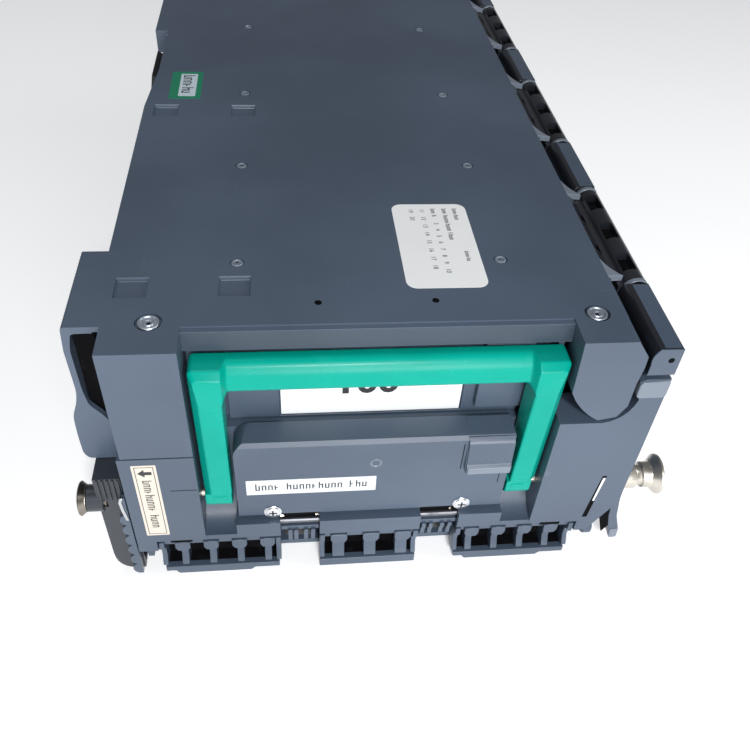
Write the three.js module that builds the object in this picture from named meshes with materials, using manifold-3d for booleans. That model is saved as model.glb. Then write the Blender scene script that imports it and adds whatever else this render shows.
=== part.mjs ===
// A cash recycling cassette: a moulded case with a hinged lid, a fold-out carrying handle, and inside it the
// rollers, gears and belt-driven push plate that store and dispense bank notes.
// Millimetres. +X is to the right of a person facing the handle, +Y points to the rear, +Z is up.
// The origin lies under the middle of the base, on the surface that the cassette stands on.
import * as THREE from "three";
import { mergeVertices } from "three/addons/utils/BufferGeometryUtils.js";
import Module from "manifold-3d";

// ---- driving dimensions ----
const LENGTH = 424; // front faces of the columns to the outside of the rear wall
const HEIGHT = 147.5; // standing surface to the top of the lid
const FRONT = -LENGTH / 2;
const REAR = LENGTH / 2;
const GAP = 0.4; // clearance between pieces that touch
const WALL = 2.8; // wall of the mouldings
const LID_PLATE = 2.6;

const CASE_LEFT = -107.6; // outside of the case's left wall
const CASE_RIGHT = 120.5; // outside of the right wall and of the hinge barrels
// The niche that the handle folds into, and the deeper place of the label holder in it.
const RECESS = { left: -77, right: 78.4, depth: 15.2, labelDepth: 22.8 };
const LID_SPLIT = 58.6; // how far the lid's left column reaches down
const FLOOR_Z = 4.5; // underside of the case floor, above the skids

const HINGE = { x: 116.5, z: HEIGHT - 10.3, pinRadius: 1.3, knuckleRadius: 6, barrelRadius: 8.1 };
const HINGE_PITCH = 126; // one barrel and one knuckle
const BARREL = 43;
const HANDLE = { outer: 75.4, inner: 63, pivotBack: 9, pivotZ: HEIGHT - 94, top: 14, pinRadius: 2 };
const NOTE_SLOT = { near: 24, far: 33, half: 96 }; // opening in the floor that notes pass through
const STACK_Z = 34; // underside of the floor that the notes stand on

const MODULE = 1; // gear module
const TEETH = { roller: 21, input: 21, push: 14 };
const SHAFT_RADIUS = 2.5;
const ROLLER_RADIUS = 10.2; // leaves the two rollers of the nip 0.6 apart
const PICKUP_RADIUS = 8;
const GEAR_PLANE = { outer: [-118.6, -114.6], inner: [-113.8, -109.8], both: [-118.6, -109.8] };
const PULLEY = { radius: 7, z: 17, frontY: -152, rearY: 194 };
const ROD = { x: 45, z: 20, radius: 3 };
const CARRIAGE_Y = 174; // middle of the carriage when the push plate stands at the rear
const STUD = { depth: 8, z: 54, holeRadius: 4.4 }; // the guide studs, one on each side
const LID_SCREW = { xs: [-89, 88.8], depth: 18.4 };
const COVER_SCREW = { xs: [-45.4, 43.3], drop: 103 };
const ROLLER = { xs: [-33, 33.4], width: 15, notchHalf: 9.2 };
const BUSH_X = -106.2;
const LATCH = { x: -111.4, drop: 40, nearDepth: 252, farDepth: 288 };

// A depth behind the front faces, and a depth below the top of the lid.
const back = (depth) => FRONT + depth;
const down = (depth) => HEIGHT - depth;

// Shaft centres as [y, z]: the input gear turns the feed and pickup gears, which stand in line with it, and
// the feed gear turns the separation gear in the outer plane.
const TRAIN_ANGLE = THREE.MathUtils.degToRad(59);
const TRAIN_STEP = (MODULE * (TEETH.roller + TEETH.input)) / 2;
const alongTrain = ([y, z]) => [
  y + TRAIN_STEP * Math.cos(TRAIN_ANGLE),
  z + TRAIN_STEP * Math.sin(TRAIN_ANGLE),
];
const FEED = [back(18), 21.5];
const SEPARATION = [FEED[0] + MODULE * TEETH.roller, FEED[1]];
const INPUT = alongTrain(FEED);
const PICKUP = alongTrain(INPUT);
const PUSH_DRIVE = [PULLEY.frontY, PULLEY.z];

// ---- solids ----
const wasm = await Module();
wasm.setup();

// A closed three.js geometry as a manifold solid.
function solid(geometry) {
  const bare = geometry.index ? geometry.toNonIndexed() : geometry;
  bare.deleteAttribute("normal");
  bare.deleteAttribute("uv");
  const merged = mergeVertices(bare, 1e-4);
  return new wasm.Manifold(
    new wasm.Mesh({
      numProp: 3,
      vertProperties: new Float32Array(merged.attributes.position.array),
      triVerts: new Uint32Array(merged.index.array),
    }),
  );
}

// A manifold solid as a three.js geometry.
function geometryOf(body) {
  const mesh = body.getMesh();
  const geometry = new THREE.BufferGeometry();
  geometry.setAttribute("position", new THREE.BufferAttribute(mesh.vertProperties, 3));
  geometry.setIndex(new THREE.BufferAttribute(mesh.triVerts, 1));
  geometry.computeVertexNormals();
  return geometry;
}

const join = (...bodies) => bodies.reduce((sum, body) => sum.add(body));
const cut = (body, ...tools) => tools.reduce((rest, tool) => rest.subtract(tool), body);

function box([x0, x1], [y0, y1], [z0, z1]) {
  const geometry = new THREE.BoxGeometry(x1 - x0, y1 - y0, z1 - z0);
  return solid(geometry.translate((x0 + x1) / 2, (y0 + y1) / 2, (z0 + z1) / 2));
}

function shapeOf(outline) {
  if (outline instanceof THREE.Shape) return outline;
  return new THREE.Shape(outline.map(([a, b]) => new THREE.Vector2(a, b)));
}

function extrude(outline, depth) {
  return new THREE.ExtrudeGeometry(shapeOf(outline), { depth, bevelEnabled: false, curveSegments: 6 });
}

// A plan outline in x and y, raised from z0 to z1.
const prismZ = (outline, [z0, z1]) => solid(extrude(outline, z1 - z0).translate(0, 0, z0));

// A front outline in x and z, running back from y0 to y1.
const prismY = (outline, [y0, y1]) =>
  solid(extrude(outline, y1 - y0).rotateX(Math.PI / 2).translate(0, y1, 0));

// A side outline in y and z, running across from x0 to x1.
function prismX(outline, [x0, x1]) {
  const turn = new THREE.Matrix4().makeBasis(
    new THREE.Vector3(0, 1, 0),
    new THREE.Vector3(0, 0, 1),
    new THREE.Vector3(1, 0, 0),
  );
  return solid(extrude(outline, x1 - x0).applyMatrix4(turn).translate(x0, 0, 0));
}

// A turned solid about the x axis; the profile is a list of [x, radius] that starts and ends on the axis.
function turned(profile, segments = 20) {
  const points = profile.map(([x, r]) => new THREE.Vector2(r, x));
  return solid(new THREE.LatheGeometry(points, segments).rotateZ(-Math.PI / 2));
}

const rodX = ([x0, x1], [y, z], radius, segments = 16) =>
  turned([[x0, 0], [x0, radius], [x1, radius], [x1, 0]], segments).translate([0, y, z]);

function rodY([y0, y1], [x, z], radius, segments = 16) {
  const geometry = new THREE.CylinderGeometry(radius, radius, y1 - y0, segments);
  return solid(geometry.translate(x, (y0 + y1) / 2, z));
}

function rodZ([z0, z1], [x, y], radius, segments = 16) {
  const geometry = new THREE.CylinderGeometry(radius, radius, z1 - z0, segments).rotateX(Math.PI / 2);
  return solid(geometry.translate(x, y, (z0 + z1) / 2));
}

// A spur gear about the x axis with straight-flanked teeth, one tooth centred on the given angle.
function gear(teeth, [x0, x1], bore, phase) {
  const pitch = (MODULE * teeth) / 2;
  const step = (2 * Math.PI) / teeth;
  const outline = [];
  for (let i = 0; i < teeth; i += 1) {
    const middle = phase + i * step;
    const corners = [
      [pitch - 1.2 * MODULE, -0.31],
      [pitch + 0.8 * MODULE, -0.1],
      [pitch + 0.8 * MODULE, 0.1],
      [pitch - 1.2 * MODULE, 0.31],
    ];
    corners.forEach(([r, part]) => {
      const angle = middle + part * step;
      outline.push([r * Math.cos(angle), r * Math.sin(angle)]);
    });
  }
  return cut(prismX(outline, [x0, x1]), rodX([x0 - 1, x1 + 1], [0, 0], bore));
}

// The phase of a gear that meshes with a gear of the given phase, in the direction that leads to it.
function meshPhase(phase, teeth, direction, nextTeeth) {
  const passed = ((direction - phase) * teeth) / (2 * Math.PI);
  return direction + Math.PI - ((0.5 - passed) * 2 * Math.PI) / nextTeeth;
}

// ---- materials ----
const material = (color, roughness, metalness = 0) =>
  new THREE.MeshStandardMaterial({ color, roughness, metalness });
const MATERIALS = {
  casing: () => material(0x5a626f, 0.5),
  darkCasing: () => material(0x3d434d, 0.55),
  teal: () => material(0x00bfa6, 0.35),
  black: () => material(0x1c1d20, 0.6),
  steel: () => material(0xb5b1a8, 0.3, 1),
  zinc: () => material(0xc9ccd0, 0.25, 1),
  rubber: () => material(0x2b2b2c, 0.85),
  ivory: () => material(0xe4dfd0, 0.5),
  card: () => material(0xf3f4f2, 0.6),
};

const cassette = new THREE.Group();

function place(parent, name, body, make, position = [0, 0, 0]) {
  const mesh = new THREE.Mesh(geometryOf(body), make());
  mesh.name = name;
  mesh.position.set(...position);
  parent.add(mesh);
  return mesh;
}

function group(...position) {
  const child = new THREE.Group();
  child.position.set(...position);
  cassette.add(child);
  return child;
}

// ---- base tray: floor, left wall, rear wall and skids in one moulding ----
function baseTray() {
  const right = CASE_RIGHT - 3.3;
  const top = down(LID_PLATE + GAP + 0.2);
  const shell = join(
    box([CASE_LEFT, right], [back(12.2), REAR], [FLOOR_Z, FLOOR_Z + 3]),
    box([CASE_LEFT, CASE_LEFT + WALL], [back(19.4), REAR], [FLOOR_Z, top]),
    box([CASE_LEFT, CASE_LEFT + WALL], [back(8.8), back(20)], [FLOOR_Z, 33]),
    box([CASE_LEFT, 103], [REAR - 3, REAR], [FLOOR_Z, top]),
    box([CASE_LEFT, CASE_LEFT + 9], [back(50), REAR], [STACK_Z - 3.5, STACK_Z - GAP]),
  );
  const skids = [-60, 0, 60].map((x) => box([x - 10, x + 10], [back(60), REAR - 10], [0, FLOOR_Z + 1]));
  const slot = box([-NOTE_SLOT.half, NOTE_SLOT.half], [back(NOTE_SLOT.near), back(NOTE_SLOT.far)], [0, 10]);
  const shaftHoles = [FEED, SEPARATION, PICKUP, PUSH_DRIVE].map((at) => rodX([-110, -100], at, 4.8));
  const inputHole = rodX([-110, -100], INPUT, 2.4);
  const latchNotch = box([-110, -100], [back(250), back(290)], [down(18), HEIGHT]);
  const latchPinHoles = rodY([back(236), back(304)], [LATCH.x, down(LATCH.drop)], 1.4);
  const latchLugs = [back(240), back(296)].map((y) =>
    box([-114, CASE_LEFT + 1], [y, y + 4], [down(45), down(34)]),
  );
  const connectorWindow = box([-36.4, 36.4], [REAR - 5, REAR + 1], [49.6, 72.4]);
  return cut(
    join(shell, ...skids, ...latchLugs),
    slot,
    ...shaftHoles,
    inputHole,
    latchNotch,
    latchPinHoles,
    connectorWindow,
  );
}

// ---- right side wall: outer skin, gutter under the lid's edge, and the hinge barrels ----
const barrelSpans = [0, 1, 2, 3].map((i) => {
  const from = Math.max(0, i * HINGE_PITCH - (i ? 4 : 0));
  return [back(from), back(i === 3 ? LENGTH : from + (i ? BARREL + 4 : BARREL))];
});
const knuckleSpans = barrelSpans.slice(0, 3).map(([, end], i) => [end + 0.6, barrelSpans[i + 1][0] - 0.6]);

function barrelOutline() {
  const shape = new THREE.Shape();
  const top = HINGE.z + 5.8;
  const start = Math.atan2(5.8, -Math.sqrt(HINGE.barrelRadius ** 2 - 5.8 ** 2));
  const end = Math.PI + 0.27;
  shape.moveTo(CASE_RIGHT, top);
  shape.absarc(HINGE.x, HINGE.z, HINGE.barrelRadius, start, end, false);
  shape.lineTo(HINGE.x - 7.8, down(18.6));
  shape.lineTo(CASE_RIGHT, down(18.6));
  shape.closePath();
  return shape;
}

function rightSideWall() {
  const gutter = down(18);
  const wall = join(
    box([CASE_RIGHT - WALL, CASE_RIGHT], [back(15.8), REAR], [FLOOR_Z + 0.2, gutter]),
    box([104.8, CASE_RIGHT], [back(15.8), REAR], [gutter - 2.4, gutter]),
    box([104.8, 107.4], [back(15.8), REAR], [FLOOR_Z + 3 + GAP, gutter]),
    box([104.8, 107.4], [back(8.8), back(16.4)], [FLOOR_Z + 3 + GAP, 33]),
    box([99.4, 105.4], [back(50), REAR - 3 - GAP], [STACK_Z - 3.5, STACK_Z - GAP]),
    box([104.8, 107.4], [back(60), REAR - 3], [gutter - 1, down(12)]),
  );
  const barrels = barrelSpans.map((span) => prismY(barrelOutline(), span));
  const foot = prismY(
    [
      [CASE_RIGHT - WALL, 22], [CASE_RIGHT, 26], [126.6, 11],
      [126.6, 7.5], [123.4, 7.5], [CASE_RIGHT - WALL, 16],
    ],
    [back(16), back(34)],
  );
  const pinHole = rodY([back(-1), REAR + 1], [HINGE.x, HINGE.z], HINGE.pinRadius + 0.3);
  const shaftHoles = [FEED, SEPARATION, PICKUP].map((at) => rodX([100, 110], at, SHAFT_RADIUS + 0.3));
  return cut(join(wall, ...barrels, foot), pinHole, ...shaftHoles);
}

// ---- front bulkhead: lower columns, the wall behind the handle, and the ramps under its arms ----
function rampOutline() {
  const shape = new THREE.Shape();
  const radius = RECESS.depth;
  const centre = [back(0.6), down(101)];
  shape.absarc(centre[0], centre[1], radius, 0, -Math.PI / 2, true);
  shape.lineTo(back(0), down(118.5));
  shape.lineTo(back(2.6), down(118.5));
  shape.absarc(centre[0], centre[1], radius + 2.4, -Math.PI / 2 + 0.13, 0, false);
  shape.closePath();
  return shape;
}

function rightPlateOutline() {
  const shape = new THREE.Shape();
  shape.moveTo(78.5, down(46.6));
  shape.lineTo(97.5, down(46.6));
  shape.quadraticCurveTo(107.4, down(44.6), 109.6, down(33.4));
  shape.lineTo(107.2, down(22.4));
  shape.lineTo(110, down(21));
  shape.lineTo(CASE_RIGHT - 0.2, down(21));
  shape.lineTo(CASE_RIGHT - 0.2, down(104));
  shape.lineTo(109, down(126));
  shape.lineTo(78.5, down(126));
  shape.closePath();
  return shape;
}

function frontBulkhead() {
  const leftColumn = cut(
    box([-108.6, RECESS.left], [FRONT, back(15.4)], [down(126), down(LID_SPLIT + 0.8)]),
    box([-106, RECESS.left - 2.6], [back(2.8), back(16)], [down(123), down(LID_SPLIT + 3.4)]),
    rodX([-82, -70], [back(HANDLE.pivotBack), HANDLE.pivotZ], HANDLE.pinRadius + 0.3),
  );
  const rightPlate = cut(
    prismY(rightPlateOutline(), [FRONT, back(15.4)]),
    box([81.2, 104.5], [back(2.8), back(16)], [down(123), down(49.4)]),
    box([103, CASE_RIGHT - 3], [back(2.8), back(16)], [down(100), down(49.4)]),
    rodX([78, 82], [back(HANDLE.pivotBack), HANDLE.pivotZ], HANDLE.pinRadius + 0.3),
    rodX([116, 122], [back(STUD.depth), STUD.z], STUD.holeRadius),
  );
  const wall = box([-104, 104.2], [back(15.8), back(18.8)], [down(114.4), down(58)]);
  const sideWalls = [[-104, RECESS.left], [79, 104.2]].map((span) =>
    box(span, [back(15.8), back(18.8)], [down(60), down(46.6)]),
  );
  const labelWall = box([-80, 77.4], [back(RECESS.labelDepth + GAP), back(26)], [down(60), down(12.4)]);
  const ledge = box([-80, 80], [back(15.8), back(26)], [down(60.6), down(58)]);
  const sideReturns = [[-80, RECESS.left - 0.4], [75, 77.4]].map((span) =>
    box(span, [back(15.8), back(26)], [down(60), down(12.4)]),
  );
  const joint = join(
    box([-104, RECESS.left], [back(15), back(16.4)], [down(114), down(70)]),
    box([79, 104], [back(15), back(16.4)], [down(114), down(60)]),
  );
  const ramps = [[RECESS.left - 1, -61.8], [62.8, 80]].map((span) => prismX(rampOutline(), span));
  const middleFloor = join(
    box([-62.4, 63.4], [FRONT, back(16.4)], [down(110.8), down(108.4)]),
    box([-62.4, 63.4], [FRONT, back(2.6)], [down(118.5), down(110)]),
  );
  const rollerNotches = ROLLER.xs.map((x) =>
    box([x - ROLLER.notchHalf, x + ROLLER.notchHalf], [back(-1), back(14)], [down(120), down(105)]),
  );
  const screwHoles = COVER_SCREW.xs.map((x) => rodY([back(10), back(20)], [x, down(COVER_SCREW.drop)], 2.2));
  const guardHoles = rodX([-48, 48], [back(5), down(113)], 1.9);
  return cut(
    join(
      leftColumn, rightPlate, wall, ...sideWalls, labelWall, ledge, ...sideReturns, joint, ...ramps,
      middleFloor,
    ),
    box([-99.9, 102.9], [back(-1), back(17)], [down(127), down(118.6)]),
    ...[[-112, -99], [102, 112]].map((span) => box(span, [back(8.2), back(17)], [down(127), down(114)])),
    ...rollerNotches,
    ...screwHoles,
    guardHoles,
  );
}

// ---- front cover, with its hooded finger grip at the right ----
function frontCover() {
  const main = prismX(
    [
      [back(3), down(105.4)], [back(3), down(58.4)], [back(4.4), down(56.4)], [back(15.4), down(55.4)],
      [back(15.4), down(108)], [back(5.6), down(108)],
    ],
    [-61, 62],
  );
  const roundCorner = cut(
    box([-61.1, -53], [back(2), back(16)], [down(63.4), down(55)]),
    rodY([back(1), back(17)], [-53, down(63.4)], 8, 32),
  );
  const hood = prismX(
    [[back(3.4), down(56.5)], [back(1.2), down(73)], [back(1.2), down(76)], [back(3.4), down(77)]],
    [41, 62],
  );
  const hollow = box([-58, 59], [back(5.4), back(16)], [down(105), down(59)]);
  const bosses = COVER_SCREW.xs.map((x) => rodY([back(4), back(15.4)], [x, down(COVER_SCREW.drop)], 4.2));
  const holes = COVER_SCREW.xs.map((x) => rodY([back(1), back(17)], [x, down(COVER_SCREW.drop)], 2.1));
  const rollerNotches = ROLLER.xs.map((x) =>
    box([x - ROLLER.notchHalf, x + ROLLER.notchHalf], [back(1), back(17)], [down(109), down(105)]),
  );
  return cut(join(cut(main, roundCorner, hollow), hood, ...bosses), ...holes, ...rollerNotches);
}

// ---- label holder behind the handle bar ----
function labelHolder() {
  const rear = RECESS.labelDepth;
  const plate = box([-62.4, 66], [back(rear - 2.4), back(rear)], [down(57.6), down(14.5)]);
  const block = box([45, 66], [back(rear - 6), back(rear - 2)], [down(52), down(14.5)]);
  const pocket = box([-40.6, 39.6], [back(rear - 3), back(rear - 1.2)], [down(56.8), down(21)]);
  return cut(join(plate, block), pocket);
}

// ---- note guide comb: a row of ribs between a foot bar and a head rail ----
function comb([left, right], ribs) {
  const bar = box([left, right], [back(0.6), back(11.4)], [0, 5.6]);
  const rail = box([left, right], [back(2.4), back(10.4)], [22.4, 27.6]);
  const profile = [
    [back(3.2), 5], [back(11.2), 5], [back(10.2), 26], [back(0.6), 26], [back(0.6), 20.4], [back(4), 17],
  ];
  const uprights = ribs.map(({ x, width }) => prismX(profile, [x - width / 2, x + width / 2]));
  return join(bar, rail, ...uprights);
}

// ---- drive cover on the left side ----
function driveCover() {
  const outside = new THREE.Shape();
  outside.moveTo(CASE_LEFT - 1, 71.4);
  outside.lineTo(-122, 71.4);
  outside.lineTo(-122, 16);
  outside.quadraticCurveTo(-122, 3, CASE_LEFT - 5, 2.6);
  outside.lineTo(CASE_LEFT - 1, 2.6);
  outside.closePath();
  const shell = cut(
    prismY(outside, [back(4), back(76)]),
    box([-119.5, -100], [back(6), back(74)], [8.8, 69.4]),
    box([-117.4, -100], [back(6), back(74)], [5, 9.4]),
  );
  const boss = rodX([-127, -120], [back(STUD.depth), STUD.z], 6.2, 28);
  const bore = rodX([-130, -118], [back(STUD.depth), STUD.z], STUD.holeRadius);
  const inputWindow = box([-124, -118], [INPUT[0] - 9, INPUT[0] + 9], [INPUT[1] - 4, INPUT[1] + 12]);
  const columnRelief = box([-110.4, -100], [back(0), back(16)], [15, 95]);
  return cut(join(shell, boss), bore, inputWindow, columnRelief);
}

// ---- lid ----
function lidOutline() {
  return [
    [-106.9, back(0)], [RECESS.left, back(0)], [RECESS.left, back(RECESS.depth)],
    [RECESS.right, back(RECESS.depth)], [RECESS.right, back(0)], [100.8, back(0)], [100.8, REAR],
    [-114.5, REAR],
    [-114.5, back(305)], [-106.7, back(305)], [-106.7, back(247)], [-110, back(200)],
    [-110, back(16)], [-106.9, back(16)],
  ];
}

// The ear that closes the gap in front of the drive cover: a moulding of its own on the lid's left edge.
function lidEar() {
  return cut(
    prismY(
      [
        [-110.3, down(0)], [-121.3, down(0)], [-122.2, down(12)], [-122, down(36)], [-125.8, down(44)],
        [-126.5, down(54)], [-126.4, down(74)], [-124, down(75.6)], [-110.3, down(75.6)],
      ],
      [back(16), back(65)],
    ),
    box([-119.4, -107.6], [back(18.6), back(62.4)], [down(76), down(LID_PLATE)]),
    box([-123.8, -107.6], [back(18.6), back(62.4)], [down(76), down(50)]),
  );
}

function lidRightColumn() {
  const outline = [
    [RECESS.right, down(0)], [78.9, down(12.3)], [79.5, down(27.7)],
  ];
  const sweep = 40.9;
  for (let step = 1; step <= 6; step += 1) {
    const x = 79.5 + (15 * step) / 6;
    outline.push([x, HINGE.z - Math.sqrt(sweep ** 2 - (HINGE.x - x) ** 2)]);
  }
  outline.push([102.5, down(43)], [105.8, down(36.5)], [105.8, down(23)]);
  outline.push([106.6, down(14.3)], [106.4, down(8.3)], [100.3, down(0)]);
  return cut(
    prismY(outline, [FRONT, back(RECESS.depth)]),
    box([82, 102.6], [back(2.6), back(16)], [down(32), down(2.6)]),
    box([90, 102.6], [back(2.6), back(16)], [down(40), down(31)]),
  );
}

function lidKnuckles() {
  return knuckleSpans.map(([y0, y1]) => {
    const outline = new THREE.Shape();
    outline.moveTo(100, down(0.2));
    outline.lineTo(102.6, down(2.2));
    outline.lineTo(108.6, down(7.4));
    outline.absarc(HINGE.x, HINGE.z, HINGE.knuckleRadius, 2.55, 0.9, true);
    outline.lineTo(120.2, HINGE.z + 3);
    outline.lineTo(120.2, HINGE.z - 3);
    outline.absarc(HINGE.x, HINGE.z, HINGE.knuckleRadius, -0.9, -2.5, true);
    outline.lineTo(107.6, down(11.2));
    outline.lineTo(100, down(5.4));
    outline.closePath();
    const windowCount = 5;
    const pitch = (y1 - y0) / windowCount;
    const windows = [];
    for (let i = 0; i < windowCount; i += 1) {
      const y = y0 + (i + 0.5) * pitch;
      windows.push(box([112.4, 118.4], [y - 3.6, y + 3.6], [HINGE.z + 2.4, HEIGHT]));
    }
    return cut(prismY(outline, [y0, y1]), ...windows);
  });
}

function lid() {
  const plate = prismZ(lidOutline(), [down(LID_PLATE), HEIGHT]);
  const leftColumn = cut(
    box([-106.9, RECESS.left], [FRONT, back(RECESS.depth)], [down(LID_SPLIT), HEIGHT]),
    box([-104.4, RECESS.left - 2.5], [back(2.6), back(16)], [down(LID_SPLIT - 2.6), down(2.6)]),
  );
  const recessWall = box(
    [RECESS.left - 1, RECESS.right + 1],
    [back(RECESS.depth - 2.4), back(RECESS.depth)],
    [down(10.5), down(1)],
  );
  const skirt = box([-110, -108.2], [back(64), back(200)], [down(12), down(1)]);
  const rearStep = box([-114.5, -108.2], [back(305), REAR], [down(14), down(1)]);
  const rearStepHollow = box([-112.4, -108], [back(307.4), REAR - 2.4], [down(15), down(LID_PLATE)]);
  const ribs = [-62, 0, 62].map((x) => box([x - 1.2, x + 1.2], [back(34), REAR - 12], [down(12), down(1)]));
  const catchTab = join(
    box([-106.7, -104], [back(258), back(282)], [down(14), down(1)]),
    box([-107.7, -105], [back(258), back(282)], [down(14), down(11.8)]),
  );
  const pockets = [40, 195].flatMap((y) =>
    [-98, -57].map((x) => box([x - 6.5, x + 6.5], [back(y - 6.2), back(y + 6.2)], [down(1.5), HEIGHT + 1])),
  );
  const screwSeats = LID_SCREW.xs.map((x) =>
    join(
      rodZ([down(1.5), HEIGHT + 1], [x, back(LID_SCREW.depth)], 5),
      rodZ([down(6), HEIGHT], [x, back(LID_SCREW.depth)], 2.2),
    ),
  );
  const pinHole = rodY([back(-1), REAR + 1], [HINGE.x, HINGE.z], HINGE.pinRadius + 0.3);
  return cut(
    join(
      plate, leftColumn, lidRightColumn(), recessWall, skirt, cut(rearStep, rearStepHollow), ...ribs,
      catchTab, ...lidKnuckles(),
    ),
    ...pockets,
    ...screwSeats,
    pinHole,
  );
}

// ---- carrying handle, drawn folded up ----
function carryHandle() {
  const armOutline = new THREE.Shape();
  armOutline.moveTo(back(3), down(HANDLE.top));
  armOutline.lineTo(back(3), HANDLE.pivotZ);
  armOutline.absarc(back(HANDLE.pivotBack), HANDLE.pivotZ, 6, Math.PI, 2 * Math.PI, false);
  armOutline.lineTo(back(15), down(HANDLE.top));
  armOutline.closePath();
  const arms = [[-HANDLE.outer, -HANDLE.inner], [HANDLE.inner, HANDLE.outer]].map((span) =>
    prismX(armOutline, span),
  );
  const bar = prismX(
    [
      [back(15), down(14)], [back(9), down(14)], [back(6), down(17)], [back(5), down(25)],
      [back(6.6), down(26.6)], [back(15), down(26.6)],
    ],
    [-HANDLE.inner - 1, HANDLE.inner + 1],
  );
  const bores = [[-80, -65.6], [65.6, 80]].map((span) =>
    rodX(span, [back(HANDLE.pivotBack), HANDLE.pivotZ], HANDLE.pinRadius + 0.3),
  );
  return cut(join(...arms, bar), ...bores);
}

// ---- small turned and moulded pieces, each about its own origin ----
const roller = (radius, width) =>
  cut(
    turned([
      [-width / 2, 0], [-width / 2, radius - 0.8], [-width / 2 + 0.8, radius],
      [width / 2 - 0.8, radius], [width / 2, radius - 0.8], [width / 2, 0],
    ], 24),
    rodX([-width, width], [0, 0], SHAFT_RADIUS + 0.3),
  );

const bush = () =>
  cut(
    turned([[-1.6, 0], [-1.6, 4.4], [1.7, 4.4], [1.7, 6], [2.9, 6], [2.9, 0]], 16),
    rodX([-5, 5], [0, 0], SHAFT_RADIUS + 0.3),
  );

const screw = (headRadius) =>
  cut(
    turned([[0, 0], [0, headRadius], [-0.5, headRadius], [-1.1, headRadius - 0.6], [-1.1, 0]].reverse(), 16)
      .add(rodX([-0.5, 7.6], [0, 0], 1.7, 8)),
    box([-1.6, -0.5], [-0.45, 0.45], [-2.1, 2.1]),
    box([-1.6, -0.5], [-2.1, 2.1], [-0.45, 0.45]),
  );

// ---- latch, belt and push plate ----
function lidLatch() {
  const lever = prismY(
    [
      [-112.9, down(66)], [-110.2, down(64)], [-109.9, down(12)], [-108.2, down(11)], [-108.2, down(8.4)],
      [-112.2, down(6)], [-113.6, down(14)], [-113.6, down(48)], [-116.4, down(54)], [-116.4, down(66)],
    ],
    [back(LATCH.nearDepth), back(LATCH.farDepth)],
  );
  const lug = rodY([back(LATCH.nearDepth), back(LATCH.farDepth)], [LATCH.x, down(LATCH.drop)], 3.4);
  return cut(join(lever, lug), rodY([back(250), back(290)], [LATCH.x, down(LATCH.drop)], 1.5));
}

function latchSpring() {
  return prismY(
    [
      [-107.95, down(64)], [-107.95, down(49)], [-108.25, down(49)], [-109.7, down(58)], [-109.4, down(58.2)],
      [-108.35, down(51.5)], [-108.35, down(64)],
    ],
    [back(264), back(276)],
  );
}

function pushBelt() {
  const loop = (radius) => {
    const shape = new THREE.Shape();
    shape.absarc(PULLEY.rearY, PULLEY.z, radius, -Math.PI / 2, Math.PI / 2, false);
    shape.absarc(PULLEY.frontY, PULLEY.z, radius, Math.PI / 2, (3 * Math.PI) / 2, false);
    shape.closePath();
    return shape;
  };
  return cut(prismX(loop(PULLEY.radius + 1.5), [-3, 3]), prismX(loop(PULLEY.radius + 0.3), [-4, 4]));
}

const pulley = () =>
  cut(
    turned([
      [-4.6, 0], [-4.6, 8.2], [-3.6, 8.2], [-3.6, PULLEY.radius], [3.6, PULLEY.radius], [3.6, 8.2],
      [4.6, 8.2], [4.6, 0],
    ], 20),
    rodX([-9, 9], [0, 0], SHAFT_RADIUS + 0.3),
  );

function pushCarriage() {
  const block = box([-52, 52], [CARRIAGE_Y - 8, CARRIAGE_Y + 8], [12.4, 28]);
  const arm = box([-8, 8], [CARRIAGE_Y - 6, CARRIAGE_Y + 6], [27, 37.4]);
  const rodHoles = [-ROD.x, ROD.x].map((x) =>
    rodY([CARRIAGE_Y - 9, CARRIAGE_Y + 9], [x, ROD.z], ROD.radius + 0.3),
  );
  const beltSlot = box([-3.5, 3.5], [CARRIAGE_Y - 9, CARRIAGE_Y + 9], [23.8, 26]);
  return cut(join(block, arm), ...rodHoles, beltSlot);
}

function notePushPlate() {
  const face = box([-92, 92], [CARRIAGE_Y - 37, CARRIAGE_Y - 33.5], [37.8, 121]);
  const foot = box([-40, 40], [CARRIAGE_Y - 34, CARRIAGE_Y + 6], [37.8, 41]);
  const gussets = [-38, 0, 38].map((x) =>
    prismX(
      [[CARRIAGE_Y - 34, 40], [CARRIAGE_Y + 4, 40], [CARRIAGE_Y - 28, 96], [CARRIAGE_Y - 34, 96]],
      [x - 1.2, x + 1.2],
    ),
  );
  return join(face, foot, ...gussets);
}

// A cross plate that holds both guide rods, with lugs for a pulley shaft and windows where the belt passes.
function rodBracket([y0, y1], lugs, windows) {
  const plate = box([-54, 54], [y0, y1], [FLOOR_Z + 3 + GAP, 27]);
  const rodHoles = [-ROD.x, ROD.x].map((x) => rodY([y0 - 1, y1 + 1], [x, ROD.z], ROD.radius + 0.3));
  const shaftHole = rodX([-20, 20], [lugs.shaftY, PULLEY.z], SHAFT_RADIUS + 0.3);
  const openings = windows.map((zSpan) => box([-6, 6], [y0 - 1, y1 + 1], zSpan));
  return cut(join(plate, ...lugs.solids), ...rodHoles, shaftHole, ...openings);
}

// ---- shutter slide: a toothed strip at the left front edge that lifts the note slot's shutter ----
function shutterSlide() {
  const teeth = 6;
  const bottom = 3;
  const pitch = 6;
  const outline = [[-109.2, bottom], [-109.2, 62], [-113, 62], [-113, bottom + teeth * pitch + 4]];
  for (let i = teeth - 1; i >= 0; i -= 1) {
    const z = bottom + i * pitch;
    outline.push([-113.6, z + 4.6], [-113.6, z + 1.6], [-111.8, z]);
  }
  return cut(
    prismY(outline, [back(0.3), back(3.4)]),
    box([-112, -110.6], [back(-1), back(5)], [46, 58]),
  );
}

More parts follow.
